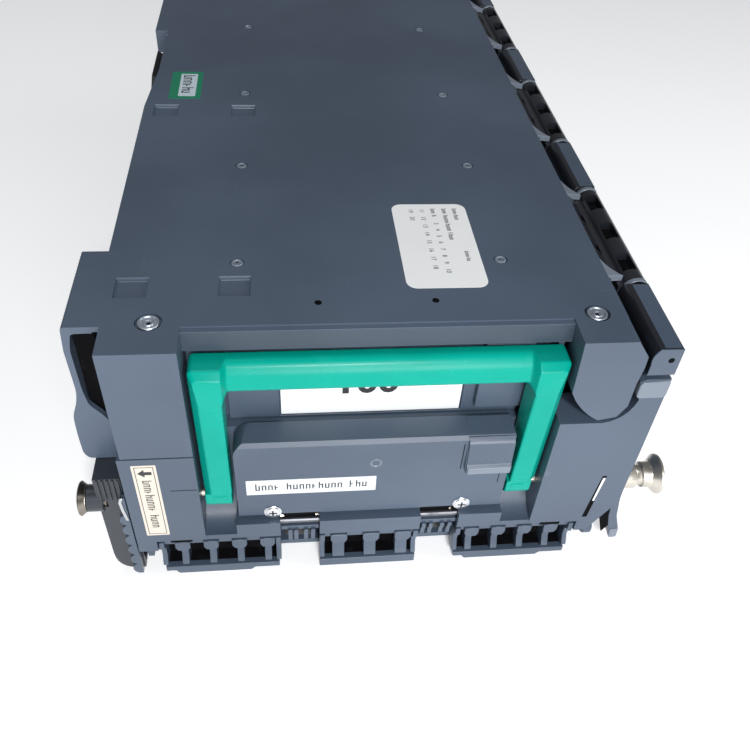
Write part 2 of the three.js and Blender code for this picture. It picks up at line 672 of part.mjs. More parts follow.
// ---- assembly ----
place(cassette, "base_tray", baseTray(), MATERIALS.casing);
place(cassette, "right_side_wall", rightSideWall(), MATERIALS.casing);
place(cassette, "front_bulkhead", frontBulkhead(), MATERIALS.casing);
place(cassette, "front_cover", frontCover(), MATERIALS.casing);
place(cassette, "label_holder", labelHolder(), MATERIALS.casing);
place(
  cassette,
  "denomination_card",
  box([-40, 39], [back(RECESS.labelDepth - 2.1), back(RECESS.labelDepth - 1.5)], [down(56.2), down(21.6)]),
  MATERIALS.card,
);
place(cassette, "drive_cover", driveCover(), MATERIALS.darkCasing);
place(cassette, "lid", lid(), MATERIALS.casing);
place(cassette, "lid_ear", lidEar(), MATERIALS.casing);
place(cassette, "carry_handle", carryHandle(), MATERIALS.teal);

const endRibs = (side) => [0, 1, 2, 3].map((i) => ({ x: 1.2 + side * (49.9 + 13.3 * i), width: 3.4 }));
place(cassette, "comb_left", comb([-99.5, -42.4], endRibs(-1)), MATERIALS.casing);
place(
  cassette,
  "comb_middle",
  comb([-23.6, 24.2], [-14.4, 1.2, 16.8].map((x) => ({ x, width: 6.6 }))),
  MATERIALS.casing,
);
place(cassette, "comb_right", comb([43, 102.5], endRibs(1)), MATERIALS.casing);

// Handle pins, hinge pin and side studs.
[-1, 1].forEach((side) => {
  const pin = rodX([-9, 9], [0, 0], HANDLE.pinRadius);
  const name = side < 0 ? "handle_pin_left" : "handle_pin_right";
  place(cassette, name, pin, MATERIALS.steel, [side * 75.2, back(HANDLE.pivotBack), HANDLE.pivotZ]);
});
place(
  cassette,
  "lid_hinge_pin",
  rodY([back(1.5), REAR - 1.5], [HINGE.x, HINGE.z], HINGE.pinRadius, 12),
  MATERIALS.steel,
);
const rightStud = turned([
  [-9, 0], [-9, 4], [0.4, 4], [0.4, 6.5], [6.6, 6.5], [7.6, 5.2], [9.4, 5.2], [10.4, 6.2], [14, 6.4],
  [17, 9.8], [18.4, 9.8], [18.4, 0],
], 24);
place(cassette, "guide_stud_right", rightStud, MATERIALS.steel, [CASE_RIGHT, back(STUD.depth), STUD.z]);
const leftStud = turned([
  [-4, 0], [-4, 9.8], [-2.8, 9.8], [-0.4, 6.4], [0, 4], [9, 4], [9, 0],
], 24);
place(cassette, "guide_stud_left", leftStud, MATERIALS.steel, [-127.6, back(STUD.depth), STUD.z]);

// Screws: the lid's heads face up, the cover's heads face forward.
LID_SCREW.xs.forEach((x, i) => {
  const mesh = place(cassette, i ? "lid_screw_right" : "lid_screw_left", screw(4.5), MATERIALS.zinc);
  mesh.position.set(x, back(LID_SCREW.depth), down(1.1));
  mesh.rotation.y = Math.PI / 2;
});
COVER_SCREW.xs.forEach((x, i) => {
  const mesh = place(cassette, i ? "cover_screw_right" : "cover_screw_left", screw(4.2), MATERIALS.zinc);
  mesh.position.set(x, back(2.6), down(COVER_SCREW.drop));
  mesh.rotation.z = Math.PI / 2;
});

// Roller shafts with their rollers, gears and bushes.
const feedPhase = 0;
const separationPhase = meshPhase(feedPhase, TEETH.roller, 0, TEETH.roller);
const inputPhase = meshPhase(feedPhase, TEETH.roller, TRAIN_ANGLE, TEETH.input);
const pickupPhase = meshPhase(inputPhase, TEETH.input, TRAIN_ANGLE, TEETH.roller);
const { both, outer, inner } = GEAR_PLANE;
const rollerShafts = [
  { name: "feed", at: FEED, radius: ROLLER_RADIUS, phase: feedPhase, plane: both },
  { name: "separation", at: SEPARATION, radius: ROLLER_RADIUS, phase: separationPhase, plane: outer },
  { name: "pickup", at: PICKUP, radius: PICKUP_RADIUS, phase: pickupPhase, plane: inner },
];
rollerShafts.forEach(({ name, at, radius, phase, plane }) => {
  const axle = group(0, at[0], at[1]);
  place(axle, name + "_shaft", rodX([-119, 109.4], [0, 0], SHAFT_RADIUS), MATERIALS.steel);
  place(axle, name + "_gear", gear(TEETH.roller, plane, SHAFT_RADIUS + 0.3, phase), MATERIALS.ivory);
  const [leftX, rightX] = ROLLER.xs;
  place(axle, name + "_roller_left", roller(radius, ROLLER.width), MATERIALS.rubber, [leftX, 0, 0]);
  place(axle, name + "_roller_right", roller(radius, ROLLER.width), MATERIALS.rubber, [rightX, 0, 0]);
  place(axle, name + "_bush", bush(), MATERIALS.ivory, [BUSH_X, 0, 0]);
});

// Input gear, which takes its drive from the machine.
const inputAxle = group(0, INPUT[0], INPUT[1]);
place(inputAxle, "input_gear", gear(TEETH.input, GEAR_PLANE.inner, 2.3, inputPhase), MATERIALS.ivory);
place(inputAxle, "input_gear_pin", rodX([-119, -104], [0, 0], 2), MATERIALS.steel);

// Push plate drive.
const pushAxle = group(0, PUSH_DRIVE[0], PUSH_DRIVE[1]);
place(pushAxle, "push_shaft", rodX([-119, 19], [0, 0], SHAFT_RADIUS), MATERIALS.steel);
place(pushAxle, "push_gear", gear(TEETH.push, GEAR_PLANE.outer, SHAFT_RADIUS + 0.3, 0), MATERIALS.ivory);
place(pushAxle, "push_pulley_front", pulley(), MATERIALS.ivory);
place(pushAxle, "push_bush", bush(), MATERIALS.ivory, [BUSH_X, 0, 0]);
const rearAxle = group(0, PULLEY.rearY, PULLEY.z);
place(rearAxle, "push_pulley_rear", pulley(), MATERIALS.ivory);
place(rearAxle, "rear_pulley_pin", rodX([-13, 13], [0, 0], SHAFT_RADIUS), MATERIALS.steel);
place(cassette, "push_belt", pushBelt(), MATERIALS.rubber);
place(cassette, "push_carriage", pushCarriage(), MATERIALS.black);
place(cassette, "note_push_plate", notePushPlate(), MATERIALS.darkCasing);
[-ROD.x, ROD.x].forEach((x) => {
  const rod = rodY([-141.4, 206.4], [x, ROD.z], ROD.radius);
  place(cassette, x < 0 ? "guide_rod_left" : "guide_rod_right", rod, MATERIALS.steel);
});
const frontLug = {
  shaftY: PULLEY.frontY,
  solids: [box([12, 15.4], [-159, -140], [FLOOR_Z + 3 + GAP, 25])],
};
const beltWindows = [[16, 30], [FLOOR_Z, 10.8]];
place(cassette, "rod_bracket_front", rodBracket([-142, -138.4], frontLug, beltWindows), MATERIALS.steel);
const rearLugs = {
  shaftY: PULLEY.rearY,
  solids: [-11.4, 8].map((x) => box([x, x + 3.4], [187, 204], [FLOOR_Z + 3 + GAP, 25])),
};
place(cassette, "rod_bracket_rear", rodBracket([203.4, 207], rearLugs, []), MATERIALS.steel);

const stackFloor = cut(
  box([CASE_LEFT + WALL + GAP, 104.4], [back(50), REAR - 3.4], [STACK_Z, STACK_Z + 2.5]),
  box([-10, 10], [back(56), REAR - 14], [STACK_Z - 1, STACK_Z + 4]),
);
place(cassette, "stack_floor", stackFloor, MATERIALS.casing);

// Lid latch on the left side.
place(cassette, "lid_latch", lidLatch(), MATERIALS.black);
const latchPin = rodY([back(240.5), back(299.5)], [LATCH.x, down(LATCH.drop)], 1.1, 12);
place(cassette, "latch_pin", latchPin, MATERIALS.steel);
place(cassette, "latch_spring", latchSpring(), MATERIALS.steel);

place(cassette, "shutter_slide", shutterSlide(), MATERIALS.casing);

// Rear connector.
const connector = cut(
  join(
    box([-36, 36], [REAR - 4, REAR + 2], [50, 72]),
    box([-40, 40], [REAR - 6.4, REAR - 3.4], [46, 76]),
  ),
  box([-30, 30], [REAR - 3, REAR + 3], [55, 67]),
);
place(cassette, "rear_connector", connector, MATERIALS.black);

// Steel bars that guard the roller openings.
ROLLER.xs.forEach((x, i) => {
  const bar = rodX([x - 11, x + 11], [back(5), down(113)], 1.6, 12);
  place(cassette, i ? "guard_bar_right" : "guard_bar_left", bar, MATERIALS.steel);
});

export default cassette;
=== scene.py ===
"""A cash recycling cassette: the visible mouldings, turned parts, labels and finishes on its frame."""
import logging
from dataclasses import dataclass
from enum import Enum
from typing import Callable, Iterable, Sequence

import bmesh
import bpy
import numpy as np
from mathutils import Matrix, Vector


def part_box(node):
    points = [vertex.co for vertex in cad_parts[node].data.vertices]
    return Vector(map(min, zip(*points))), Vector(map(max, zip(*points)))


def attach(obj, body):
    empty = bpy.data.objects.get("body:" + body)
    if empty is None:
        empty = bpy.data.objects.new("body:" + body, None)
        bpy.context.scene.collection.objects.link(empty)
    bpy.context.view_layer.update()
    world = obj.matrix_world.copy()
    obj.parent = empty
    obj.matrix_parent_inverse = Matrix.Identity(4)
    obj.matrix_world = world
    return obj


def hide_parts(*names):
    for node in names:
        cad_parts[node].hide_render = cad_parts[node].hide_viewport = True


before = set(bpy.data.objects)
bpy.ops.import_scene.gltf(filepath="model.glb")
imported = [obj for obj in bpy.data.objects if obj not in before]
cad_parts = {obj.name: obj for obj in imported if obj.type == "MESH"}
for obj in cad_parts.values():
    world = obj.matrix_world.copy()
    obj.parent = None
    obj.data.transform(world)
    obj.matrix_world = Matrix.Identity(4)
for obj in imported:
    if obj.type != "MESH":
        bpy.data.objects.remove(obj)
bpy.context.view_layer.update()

LOG = logging.getLogger("cassette")
MM = 0.001
Array = np.ndarray
Mesh = tuple[Array, list[tuple[int, ...]]]

LID_LOW, LID_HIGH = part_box("lid")
FRONT = LID_LOW.y / MM
TOP = LID_HIGH.z / MM
LID_SKIN = 0.16
MERGE = 0.01


def back(depth: float) -> float:
    """Return the y, in millimetres, of a point that lies this far behind the front faces."""
    return FRONT + depth


def down(depth: float) -> float:
    """Return the z, in millimetres, of a point that lies this far below the top of the lid."""
    return TOP - depth


class Axis(Enum):
    """The direction that a profile is carried along, and the two axes that its outline is drawn in."""

    X = (0, (1, 2))
    Y = (1, (0, 2))
    Z = (2, (0, 1))


# ---------------------------------------------------------------------------------------------- shader maths


class Socket:
    """A number that a shader works out, with the usual operators.

    Args:
        graph: the graph that the socket belongs to.
        out: the output socket that carries the number.
    """

    def __init__(self, graph: "Graph", out: bpy.types.NodeSocket) -> None:
        """Wrap one output socket."""
        self.graph = graph
        self.out = out

    def _math(self, operation: str, *values: "Socket | float") -> "Socket":
        """Return the result of one Math node."""
        return self.graph.node("ShaderNodeMath", {"operation": operation}, dict(enumerate(values)))

    def __add__(self, other: "Socket | float") -> "Socket":
        """Return the sum."""
        return self._math("ADD", self, other)

    def __mul__(self, other: "Socket | float") -> "Socket":
        """Return the product."""
        return self._math("MULTIPLY", self, other)

    def __sub__(self, other: "Socket | float") -> "Socket":
        """Return the difference."""
        return self._math("SUBTRACT", self, other)

    def __rsub__(self, other: float) -> "Socket":
        """Return a number less this one."""
        return self._math("SUBTRACT", other, self)

    __radd__ = __add__
    __rmul__ = __mul__

    def band(self, low: float, high: float) -> "Socket":
        """Return 0 below low and 1 above high, rising smoothly in between."""
        settings = {"interpolation_type": "SMOOTHSTEP", "clamp": True}
        inputs = {"Value": self, "From Min": low, "From Max": high}
        return self.graph.node("ShaderNodeMapRange", settings, inputs)


class Graph:
    """A material's node graph.

    Args:
        name: the material's name.
    """

    def __init__(self, name: str) -> None:
        """Start a material that holds only a shader and an output."""
        self.material = bpy.data.materials.new(name)
        self.material.use_nodes = True
        self.tree = self.material.node_tree
        self.tree.nodes.clear()
        self.shader = self.tree.nodes.new("ShaderNodeBsdfPrincipled")
        output = self.tree.nodes.new("ShaderNodeOutputMaterial")
        self.tree.links.new(self.shader.outputs["BSDF"], output.inputs["Surface"])

    def node(self, kind: str, settings: dict, inputs: dict, out: int | str = 0) -> Socket:
        """Add one node.

        Args:
            kind: the node's type.
            settings: its properties, which are set first.
            inputs: values or links by socket name or number.
            out: the output to return.

        Returns:
            The chosen output as a Socket.
        """
        made = self.tree.nodes.new(kind)
        for key, value in settings.items():
            setattr(made, key, value)
        for key, value in inputs.items():
            if isinstance(value, Socket):
                self.tree.links.new(value.out, made.inputs[key])
            else:
                made.inputs[key].default_value = value
        return Socket(self, made.outputs[out])

    def place(self) -> Socket:
        """Return the object coordinates."""
        return self.node("ShaderNodeTexCoord", {}, {}, "Object")

    def stretched(self, scale: Sequence[float]) -> Socket:
        """Return the object coordinates scaled by a number for each axis."""
        return self.node("ShaderNodeMapping", {}, {"Vector": self.place(), "Scale": scale})

    def noise(self, scale: float, detail: float = 3.0, at: Socket | None = None) -> Socket:
        """Return fractal noise from 0 to 1, at a number of cells per metre."""
        inputs = {"Vector": at or self.place(), "Scale": scale, "Detail": detail}
        return self.node("ShaderNodeTexNoise", {}, inputs, "Fac")

    def blend(self, amount: Socket | float, first: Sequence[float], second: Sequence[float]) -> Socket:
        """Return a colour between two colours."""
        inputs = {0: amount, 6: (*first, 1.0), 7: (*second, 1.0)}
        return self.node("ShaderNodeMix", {"data_type": "RGBA"}, inputs, 2)

    def tint(self, amount: Socket | float, first: Socket, second: Sequence[float]) -> Socket:
        """Return a linked colour moved towards another colour."""
        inputs = {0: amount, 6: first, 7: (*second, 1.0)}
        return self.node("ShaderNodeMix", {"data_type": "RGBA"}, inputs, 2)

    def bump(self, height: Socket, distance: float, strength: float = 1.0) -> None:
        """Feed a height, in units of distance metres, to the shader's normal."""
        inputs = {"Height": height, "Distance": distance, "Strength": strength}
        self.feed("Normal", self.node("ShaderNodeBump", {}, inputs))

    def feed(self, name: str, value: Socket | float | Sequence[float]) -> None:
        """Link or set one input of the shader."""
        if isinstance(value, Socket):
            self.tree.links.new(value.out, self.shader.inputs[name])
        else:
            self.shader.inputs[name].default_value = value


# -------------------------------------------------------------------------------------------------- finishes


@dataclass(frozen=True)
class Finish:
    """A finish that is built once and then shared."""

    name: str

    def build(self, graph: Graph) -> None:
        """Fill in the graph."""
        raise NotImplementedError

    def material(self) -> bpy.types.Material:
        """Return the finish's material, built the first time it is asked for."""
        found = bpy.data.materials.get(self.name)
        if found:
            return found
        graph = Graph(self.name)
        self.build(graph)
        return graph.material


@dataclass(frozen=True)
class Moulding(Finish):
    """Moulded plastic with a spark-eroded grain, slow colour drift, handling marks and fine scratches."""

    colour: tuple[float, float, float]
    roughness: float = 0.42
    grain: float = 2600.0
    relief: float = 0.00005
    marks: float = 0.5

    def build(self, graph: Graph) -> None:
        """Mix the drift, the dust and the scratches over the base colour."""
        light = tuple(min(1.0, c * 1.14 + 0.004) for c in self.colour)
        dark = tuple(c * 0.90 for c in self.colour)
        dusty = tuple(c * 0.75 + 0.055 for c in self.colour)
        scraped = tuple(c * 1.5 + 0.05 for c in self.colour)
        drift = graph.noise(9.0, 4.0)
        smears = graph.noise(34.0, 6.0).band(0.52, 0.80)
        scratch_long = graph.noise(70.0, 2.0, graph.stretched((1.0, 14.0, 1.0))).band(0.70, 0.735)
        scratch_wide = graph.noise(60.0, 2.0, graph.stretched((16.0, 1.0, 3.0))).band(0.71, 0.74)
        scratches = (scratch_long + scratch_wide) * graph.noise(12.0, 2.0).band(0.48, 0.66)
        specks = graph.noise(1500.0, 1.0).band(0.74, 0.80)
        colour = graph.blend(drift.band(0.3, 0.7), dark, light)
        colour = graph.tint(smears * (0.16 * self.marks), colour, dusty)
        colour = graph.tint(specks * (0.35 * self.marks), colour, dusty)
        colour = graph.tint(scratches * (0.38 * self.marks), colour, scraped)
        graph.feed("Base Color", colour)
        rough = smears * (0.10 * self.marks) + drift * 0.06 + (self.roughness - 0.03)
        graph.feed("Roughness", rough - scratches * 0.08)
        graph.feed("Specular IOR Level", 0.5)
        grain = graph.noise(self.grain, 2.0)
        waves = graph.noise(22.0, 1.0)
        graph.bump(grain + waves * 1.5 - scratches * 0.6, self.relief, 0.55)


@dataclass(frozen=True)
class GlossMoulding(Finish):
    """Smooth coloured plastic with a soft gloss, faint flow lines and rubbed patches."""

    colour: tuple[float, float, float]
    roughness: float = 0.3

    def build(self, graph: Graph) -> None:
        """Mix the rubbed patches over the colour."""
        pale = tuple(c * 1.04 + 0.012 for c in self.colour)
        deep = tuple(c * 0.86 for c in self.colour)
        drift = graph.noise(14.0, 3.0)
        rubbed = graph.noise(55.0, 5.0).band(0.55, 0.8)
        scratches = graph.noise(80.0, 2.0, graph.stretched((1.0, 6.0, 14.0))).band(0.71, 0.735)
        colour = graph.blend(drift.band(0.3, 0.7), deep, self.colour)
        colour = graph.tint(rubbed * 0.20, colour, pale)
        graph.feed("Base Color", graph.tint(scratches * 0.30, colour, pale))
        graph.feed("Roughness", rubbed * 0.12 + self.roughness)
        graph.feed("Specular IOR Level", 0.16)
        graph.bump(graph.noise(1400.0, 2.0) + graph.noise(26.0, 1.0) * 2.0, 0.00003, 0.5)


@dataclass(frozen=True)
class TurnedMetal(Finish):
    """Bare metal with turning marks round an axis, a warm or cool tone, and finger stains."""

    colour: tuple[float, float, float]
    roughness: float = 0.26
    turned: bool = True

    def build(self, graph: Graph) -> None:
        """Mix fine rings, stains and pits."""
        stretch = (60.0, 1.0, 1.0) if self.turned else (1.0, 30.0, 1.0)
        rings = graph.noise(120.0, 3.0, graph.stretched(stretch))
        stains = graph.noise(90.0, 5.0).band(0.48, 0.75)
        dull = tuple(c * 0.62 for c in self.colour)
        colour = graph.blend(stains * 0.65, self.colour, dull)
        graph.feed("Base Color", colour)
        graph.feed("Metallic", 1.0)
        graph.feed("Roughness", rings * 0.16 + stains * 0.14 + (self.roughness - 0.06))
        graph.bump(rings + graph.noise(1800.0, 2.0) * 0.4, 0.00003, 0.6)


@dataclass(frozen=True)
class Rubber(Finish):
    """Dull rubber with a ground surface and pale paper dust."""

    colour: tuple[float, float, float]

    def build(self, graph: Graph) -> None:
        """Mix paper dust over the rubber."""
        dust = graph.noise(160.0, 5.0).band(0.45, 0.75)
        dusty = tuple(c + 0.05 for c in self.colour)
        graph.feed("Base Color", graph.blend(dust * 0.7, self.colour, dusty))
        graph.feed("Roughness", dust * 0.12 + 0.72)
        graph.bump(graph.noise(900.0, 4.0), 0.00008, 0.8)


@dataclass(frozen=True)
class LabelStock(Finish):
    """Printed label film: nearly even, with faint fibre, a few rubbed spots and a soft sheen."""

    colour: tuple[float, float, float]
    roughness: float = 0.45

    def build(self, graph: Graph) -> None:
        """Mix faint fibre and rubbing over the colour."""
        soiled = tuple(c * 0.86 for c in self.colour)
        fibre = graph.noise(700.0, 4.0)
        rubbed = graph.noise(60.0, 4.0).band(0.5, 0.8)
        colour = graph.blend(rubbed * 0.35 + fibre * 0.12, self.colour, soiled)
        graph.feed("Base Color", colour)
        graph.feed("Roughness", rubbed * 0.1 + self.roughness)
        graph.bump(fibre, 0.00001, 0.5)


@dataclass(frozen=True)
class DeepShade(Finish):
    """The inside of a slot or a pocket that no light reaches: nearly black, with a little dust."""

    def build(self, graph: Graph) -> None:
        """Mix a little dust over black."""
        dust = graph.noise(240.0, 4.0).band(0.55, 0.8)
        graph.feed("Base Color", graph.blend(dust * 0.6, (0.003, 0.003, 0.004), (0.011, 0.012, 0.014)))
        graph.feed("Roughness", dust * 0.05 + 0.88)
        graph.feed("Specular IOR Level", 0.08)
        graph.bump(graph.noise(1500.0, 2.0), 0.00002, 0.4)


class Finishes:
    """Every finish on the cassette."""

    CASING = Moulding("casing_slate", (0.059, 0.083, 0.123), 0.40)
    CASING_SMOOTH = Moulding("casing_slate_smooth", (0.059, 0.083, 0.123), 0.27, 1800.0, 0.00003)
    # painted shade: a darker copy of the casing for the lid's recess, which is set back out of the light
    CASING_RECESSED = Moulding("casing_slate_painted_shade", (0.031, 0.045, 0.068), 0.44)
    # painted highlight: a lighter copy of the casing for crests, lips and faces that catch the light
    CASING_WORN = Moulding("casing_slate_painted_highlight", (0.150, 0.178, 0.222), 0.24, 1800.0, 0.00003)
    SHADE = DeepShade("deep_shade")
    # painted shade: near black, for the hinge's curved sides that face away from the light
    HINGE = Moulding("hinge_painted_shade", (0.011, 0.013, 0.018), 0.28, 1800.0, 0.00003)
    DARK = Moulding("casing_dark", (0.024, 0.029, 0.039), 0.36)
    BLACK = Moulding("latch_black", (0.012, 0.012, 0.013), 0.42)
    HANDLE = GlossMoulding("handle_teal", (0.0, 0.325, 0.25), 0.26)
    IVORY = GlossMoulding("gear_ivory", (0.72, 0.67, 0.54), 0.38)
    STEEL = TurnedMetal("stud_steel", (0.68, 0.635, 0.57), 0.28)
    PLATE = TurnedMetal("plate_steel", (0.60, 0.61, 0.62), 0.30, False)
    ZINC = TurnedMetal("screw_zinc", (0.78, 0.80, 0.83), 0.20, False)
    CUP = TurnedMetal("cup_screw_zinc", (0.50, 0.55, 0.62), 0.40, False)
    BRONZED = TurnedMetal("stud_bronzed_steel", (0.30, 0.27, 0.235), 0.30)
    DULL = TurnedMetal("dull_steel", (0.15, 0.155, 0.17), 0.42, False)
    RUBBER = Rubber("roller_rubber", (0.022, 0.022, 0.023))
    # the label stock's white, also used for the painted highlight in the right plate's slit
    WHITE = LabelStock("label_white_and_highlight", (0.80, 0.815, 0.82))
    SILVER = LabelStock("label_silver_grey", (0.62, 0.65, 0.68), 0.36)
    BEIGE = LabelStock("label_beige", (0.60, 0.545, 0.475))
    GREEN = LabelStock("label_green", (0.004, 0.195, 0.10), 0.38)
    PALE_BLUE = LabelStock("label_pale_blue", (0.52, 0.62, 0.68), 0.4)
    # print ink, also used as painted shade in the pan screws' cross recesses
    INK = LabelStock("label_ink_and_shade", (0.018, 0.019, 0.024), 0.5)


# -------------------------------------------------------------------------------------------------- surfaces


def wrapped(rows: int, size: int) -> list[tuple[int, ...]]:
    """Join rings of points that follow one another, each ring closed on itself.

    Args:
        rows: the number of rings.
        size: the number of points in a ring.

    Returns:
        Faces with the corners i, i + 1, i + 1 + size and i + size, where i + 1 wraps round within its ring.
    """
    row = np.arange(rows - 1)[:, None] * size
    step = np.arange(size)[None, :]
    after = (step + 1) % size
    quads = np.stack([row + step, row + after, row + size + after, row + size + step], axis=-1)
    return [tuple(face) for face in quads.reshape(-1, 4).tolist()]


def capped(rows: int, size: int) -> list[tuple[int, ...]]:
    """Return the faces of wrapped rings with a many-sided cap on the first ring and on the last."""
    last = range((rows - 1) * size, rows * size)
    return [*wrapped(rows, size), tuple(reversed(range(size))), tuple(last)]


def lofted(rings: Array) -> Mesh:
    """Join rings of the same number of points into a closed surface, with a flat cap at each end.

    Args:
        rings: an array of ring, point and coordinate, in millimetres.

    Returns:
        Vertices in metres and faces.
    """
    return rings.reshape(-1, 3) * MM, capped(*rings.shape[:2])


def carried(outline: Array, span: Sequence[float], axis: Axis) -> Mesh:
    """Carry a closed outline along an axis: each point keeps its two coordinates at both ends of the span.

    Args:
        outline: points, in millimetres, in the two axes that aren't the direction of travel.
        span: the two ends along the axis, in millimetres.
        axis: the direction of travel.

    Returns:
        Vertices in metres and faces, with a many-sided cap at each end.
    """
    points = np.zeros((2, len(outline), 3))
    along, (first, second) = axis.value
    points[..., first] = outline[:, 0]
    points[..., second] = outline[:, 1]
    points[..., along] = np.asarray(span)[:, None]
    return lofted(points)


def plate(outline: Array, near: float, far: float) -> Mesh:
    """Carry an outline that is drawn from the front between two depths behind the front faces."""
    return carried(outline, (back(near), back(far)), Axis.Y)


def front_view(points: Sequence[tuple[float, float]]) -> Array:
    """Return an outline drawn from the front, whose points are given as x and the drop below the lid."""
    return np.array([(x, down(drop)) for x, drop in points], float)


def side_view(points: Sequence[tuple[float, float]]) -> Array:
    """Return an outline drawn from the side, whose points are given as depth and the drop below the lid."""
    return np.array([(back(depth), down(drop)) for depth, drop in points], float)


def revolved(
    profile: Sequence[tuple[float, float]],
    centre: Sequence[float],
    axis: Axis,
    steps: int = 64,
) -> Mesh:
    """Turn a profile about an axis: radius r at place t becomes r cos(u), r sin(u) around the axis at t.

    Args:
        profile: (place along the axis, radius) pairs, in millimetres, whose two ends have radius 0.
        centre: the origin of the profile, in millimetres.
        axis: the axis of turning.
        steps: how many steps make the full turn.

    Returns:
        Vertices in metres and faces of a closed surface.
    """
    rows = np.asarray(profile, float)[1:-1]
    along, (first, second) = axis.value
    angle = np.arange(steps) * 2 * np.pi / steps
    ring = np.zeros((len(rows), steps, 3))
    ring[..., along] = rows[:, :1]
    ring[..., first] = rows[:, 1:] * np.cos(angle)
    ring[..., second] = rows[:, 1:] * np.sin(angle)
    ends = np.zeros((2, 3))
    ends[:, along] = (profile[0][0], profile[-1][0])
    points = np.concatenate([ring.reshape(-1, 3), ends]) + np.asarray(centre, float)
    start, end = len(points) - 2, len(points) - 1
    last = (len(rows) - 1) * steps
    faces = wrapped(len(rows), steps)
    faces += [(start, (i + 1) % steps, i) for i in range(steps)]
    faces += [(end, last + i, last + (i + 1) % steps) for i in range(steps)]
    return points * MM, faces


def arc(centre: Sequence[float], radius: float, start: float, end: float, steps: int = 12) -> Array:
    """Return points on a circle's arc, from one angle to another in degrees."""
    angle = np.radians(np.linspace(start, end, steps + 1))
    return np.stack([centre[0] + radius * np.cos(angle), centre[1] + radius * np.sin(angle)], axis=1)


def rounded(low: Sequence[float], high: Sequence[float], radius: float, steps: int = 6) -> Array:
    """Return the outline of a rectangle whose corners are quarter circles."""
    (x0, y0), (x1, y1) = low, high
    corners = [
        ((x1 - radius, y1 - radius), 0.0),
        ((x0 + radius, y1 - radius), 90.0),
        ((x0 + radius, y0 + radius), 180.0),
        ((x1 - radius, y0 + radius), 270.0),
    ]
    return np.concatenate([arc(c, radius, a, a + 90.0, steps) for c, a in corners])


def softened(corners: Sequence[Sequence[float]], radii: Sequence[float] | float, steps: int = 4) -> Array:
    """Round the corners of an outline.

    Each corner becomes a quadratic curve that starts and ends its radius away from the corner, or half the
    shorter side where that is less.

    Args:
        corners: the outline's corners, in order.
        radii: a radius for each corner, or one for all of them.
        steps: how many steps make one rounding.

    Returns:
        The points of the rounded outline.
    """
    at = np.asarray(corners, float)
    radius = np.broadcast_to(np.asarray(radii, float), len(at))[:, None]
    before, after = np.roll(at, 1, axis=0) - at, np.roll(at, -1, axis=0) - at
    reach_before = np.linalg.norm(before, axis=1, keepdims=True)
    reach_after = np.linalg.norm(after, axis=1, keepdims=True)
    size = np.minimum(radius, 0.48 * np.minimum(reach_before, reach_after))
    start, end = at + before / reach_before * size, at + after / reach_after * size
    t = np.linspace(0.0, 1.0, steps + 1)[None, :, None]
    curve = (1 - t) ** 2 * start[:, None] + 2 * t * (1 - t) * at[:, None] + t**2 * end[:, None]
    return curve.reshape(-1, 2)


def block(x: Sequence[float], y: Sequence[float], z: Sequence[float]) -> Mesh:
    """Return a box between two places on each axis, in millimetres."""
    outline = np.array([(x[0], y[0]), (x[1], y[0]), (x[1], y[1]), (x[0], y[1])], float)
    return carried(outline, z, Axis.Z)


def together(parts: Iterable[Mesh]) -> Mesh:
    """Return several meshes as one."""
    points: list[Array] = []
    faces: list[tuple[int, ...]] = []
    count = 0
    for verts, polygons in parts:
        points.append(verts)
        faces += [tuple(i + count for i in face) for face in polygons]
        count += len(verts)
    return np.concatenate(points), faces


# ---------------------------------------------------------------------------------------------- piece making


def edited(mesh: bpy.types.Mesh, change: Callable[[bmesh.types.BMesh], object]) -> None:
    """Pass a mesh's points and faces through a function that changes them."""
    work = bmesh.new()
    work.from_mesh(mesh)
    change(work)
    work.to_mesh(mesh)
    work.free()


def merge(work: bmesh.types.BMesh) -> None:
    """Join the points that lie on one another."""
    bmesh.ops.remove_doubles(work, verts=work.verts, dist=MERGE * MM)


def merge_flat(work: bmesh.types.BMesh, angle: float = 0.5) -> None:
    """Join the points that lie on one another, and the faces that are flat to within an angle in degrees."""
    merge(work)
    bmesh.ops.dissolve_limit(work, angle_limit=np.radians(angle), verts=work.verts, edges=work.edges)


def outward(mesh: bpy.types.Mesh) -> None:
    """Turn every face of a mesh outwards."""
    edited(mesh, lambda work: bmesh.ops.recalc_face_normals(work, faces=work.faces))


def soften(piece: bpy.types.Object, width: float, segments: int = 2, angle: float = 32.0) -> None:
    """Round a piece's edges sharper than an angle, by a width in millimetres, and shade it smooth."""
    if width > 0:
        bevel = piece.modifiers.new("edge_rounding", "BEVEL")
        bevel.width = width * MM
        bevel.segments = segments
        bevel.limit_method = "ANGLE"
        bevel.angle_limit = np.radians(angle)
        bevel.use_clamp_overlap = True
        bevel.harden_normals = False
    piece.data.shade_smooth()
    smooth = piece.modifiers.new("even_shading", "WEIGHTED_NORMAL")
    smooth.keep_sharp = True


def sharpen(mesh: bpy.types.Mesh, angle: float = 32.0) -> None:
    """Mark the edges that are sharper than an angle, so that flat faces stay flat."""
    mesh.set_sharp_from_angle(angle=np.radians(angle))


def piece(
    name: str,
    shape: Mesh,
    body: str,
    finish: Finish,
    replaces: Sequence[str] = (),
    edge: float = 0.3,
    segments: int = 2,
) -> bpy.types.Object:
    """Make one visible piece.

    Args:
        name: the piece's name.
        shape: its vertices and faces.
        body: the body that it rides on.
        finish: what it is made of.
        replaces: the frame's nodes that it stands for.
        edge: how far its edges are rounded, in millimetres.
        segments: how many steps make the rounding.

    Returns:
        The new object.
    """
    mesh = bpy.data.meshes.new(name)
    mesh.from_pydata(shape[0], [], shape[1])
    mesh.validate()
    outward(mesh)
    return dress(name, mesh, body, finish, replaces, edge, segments)


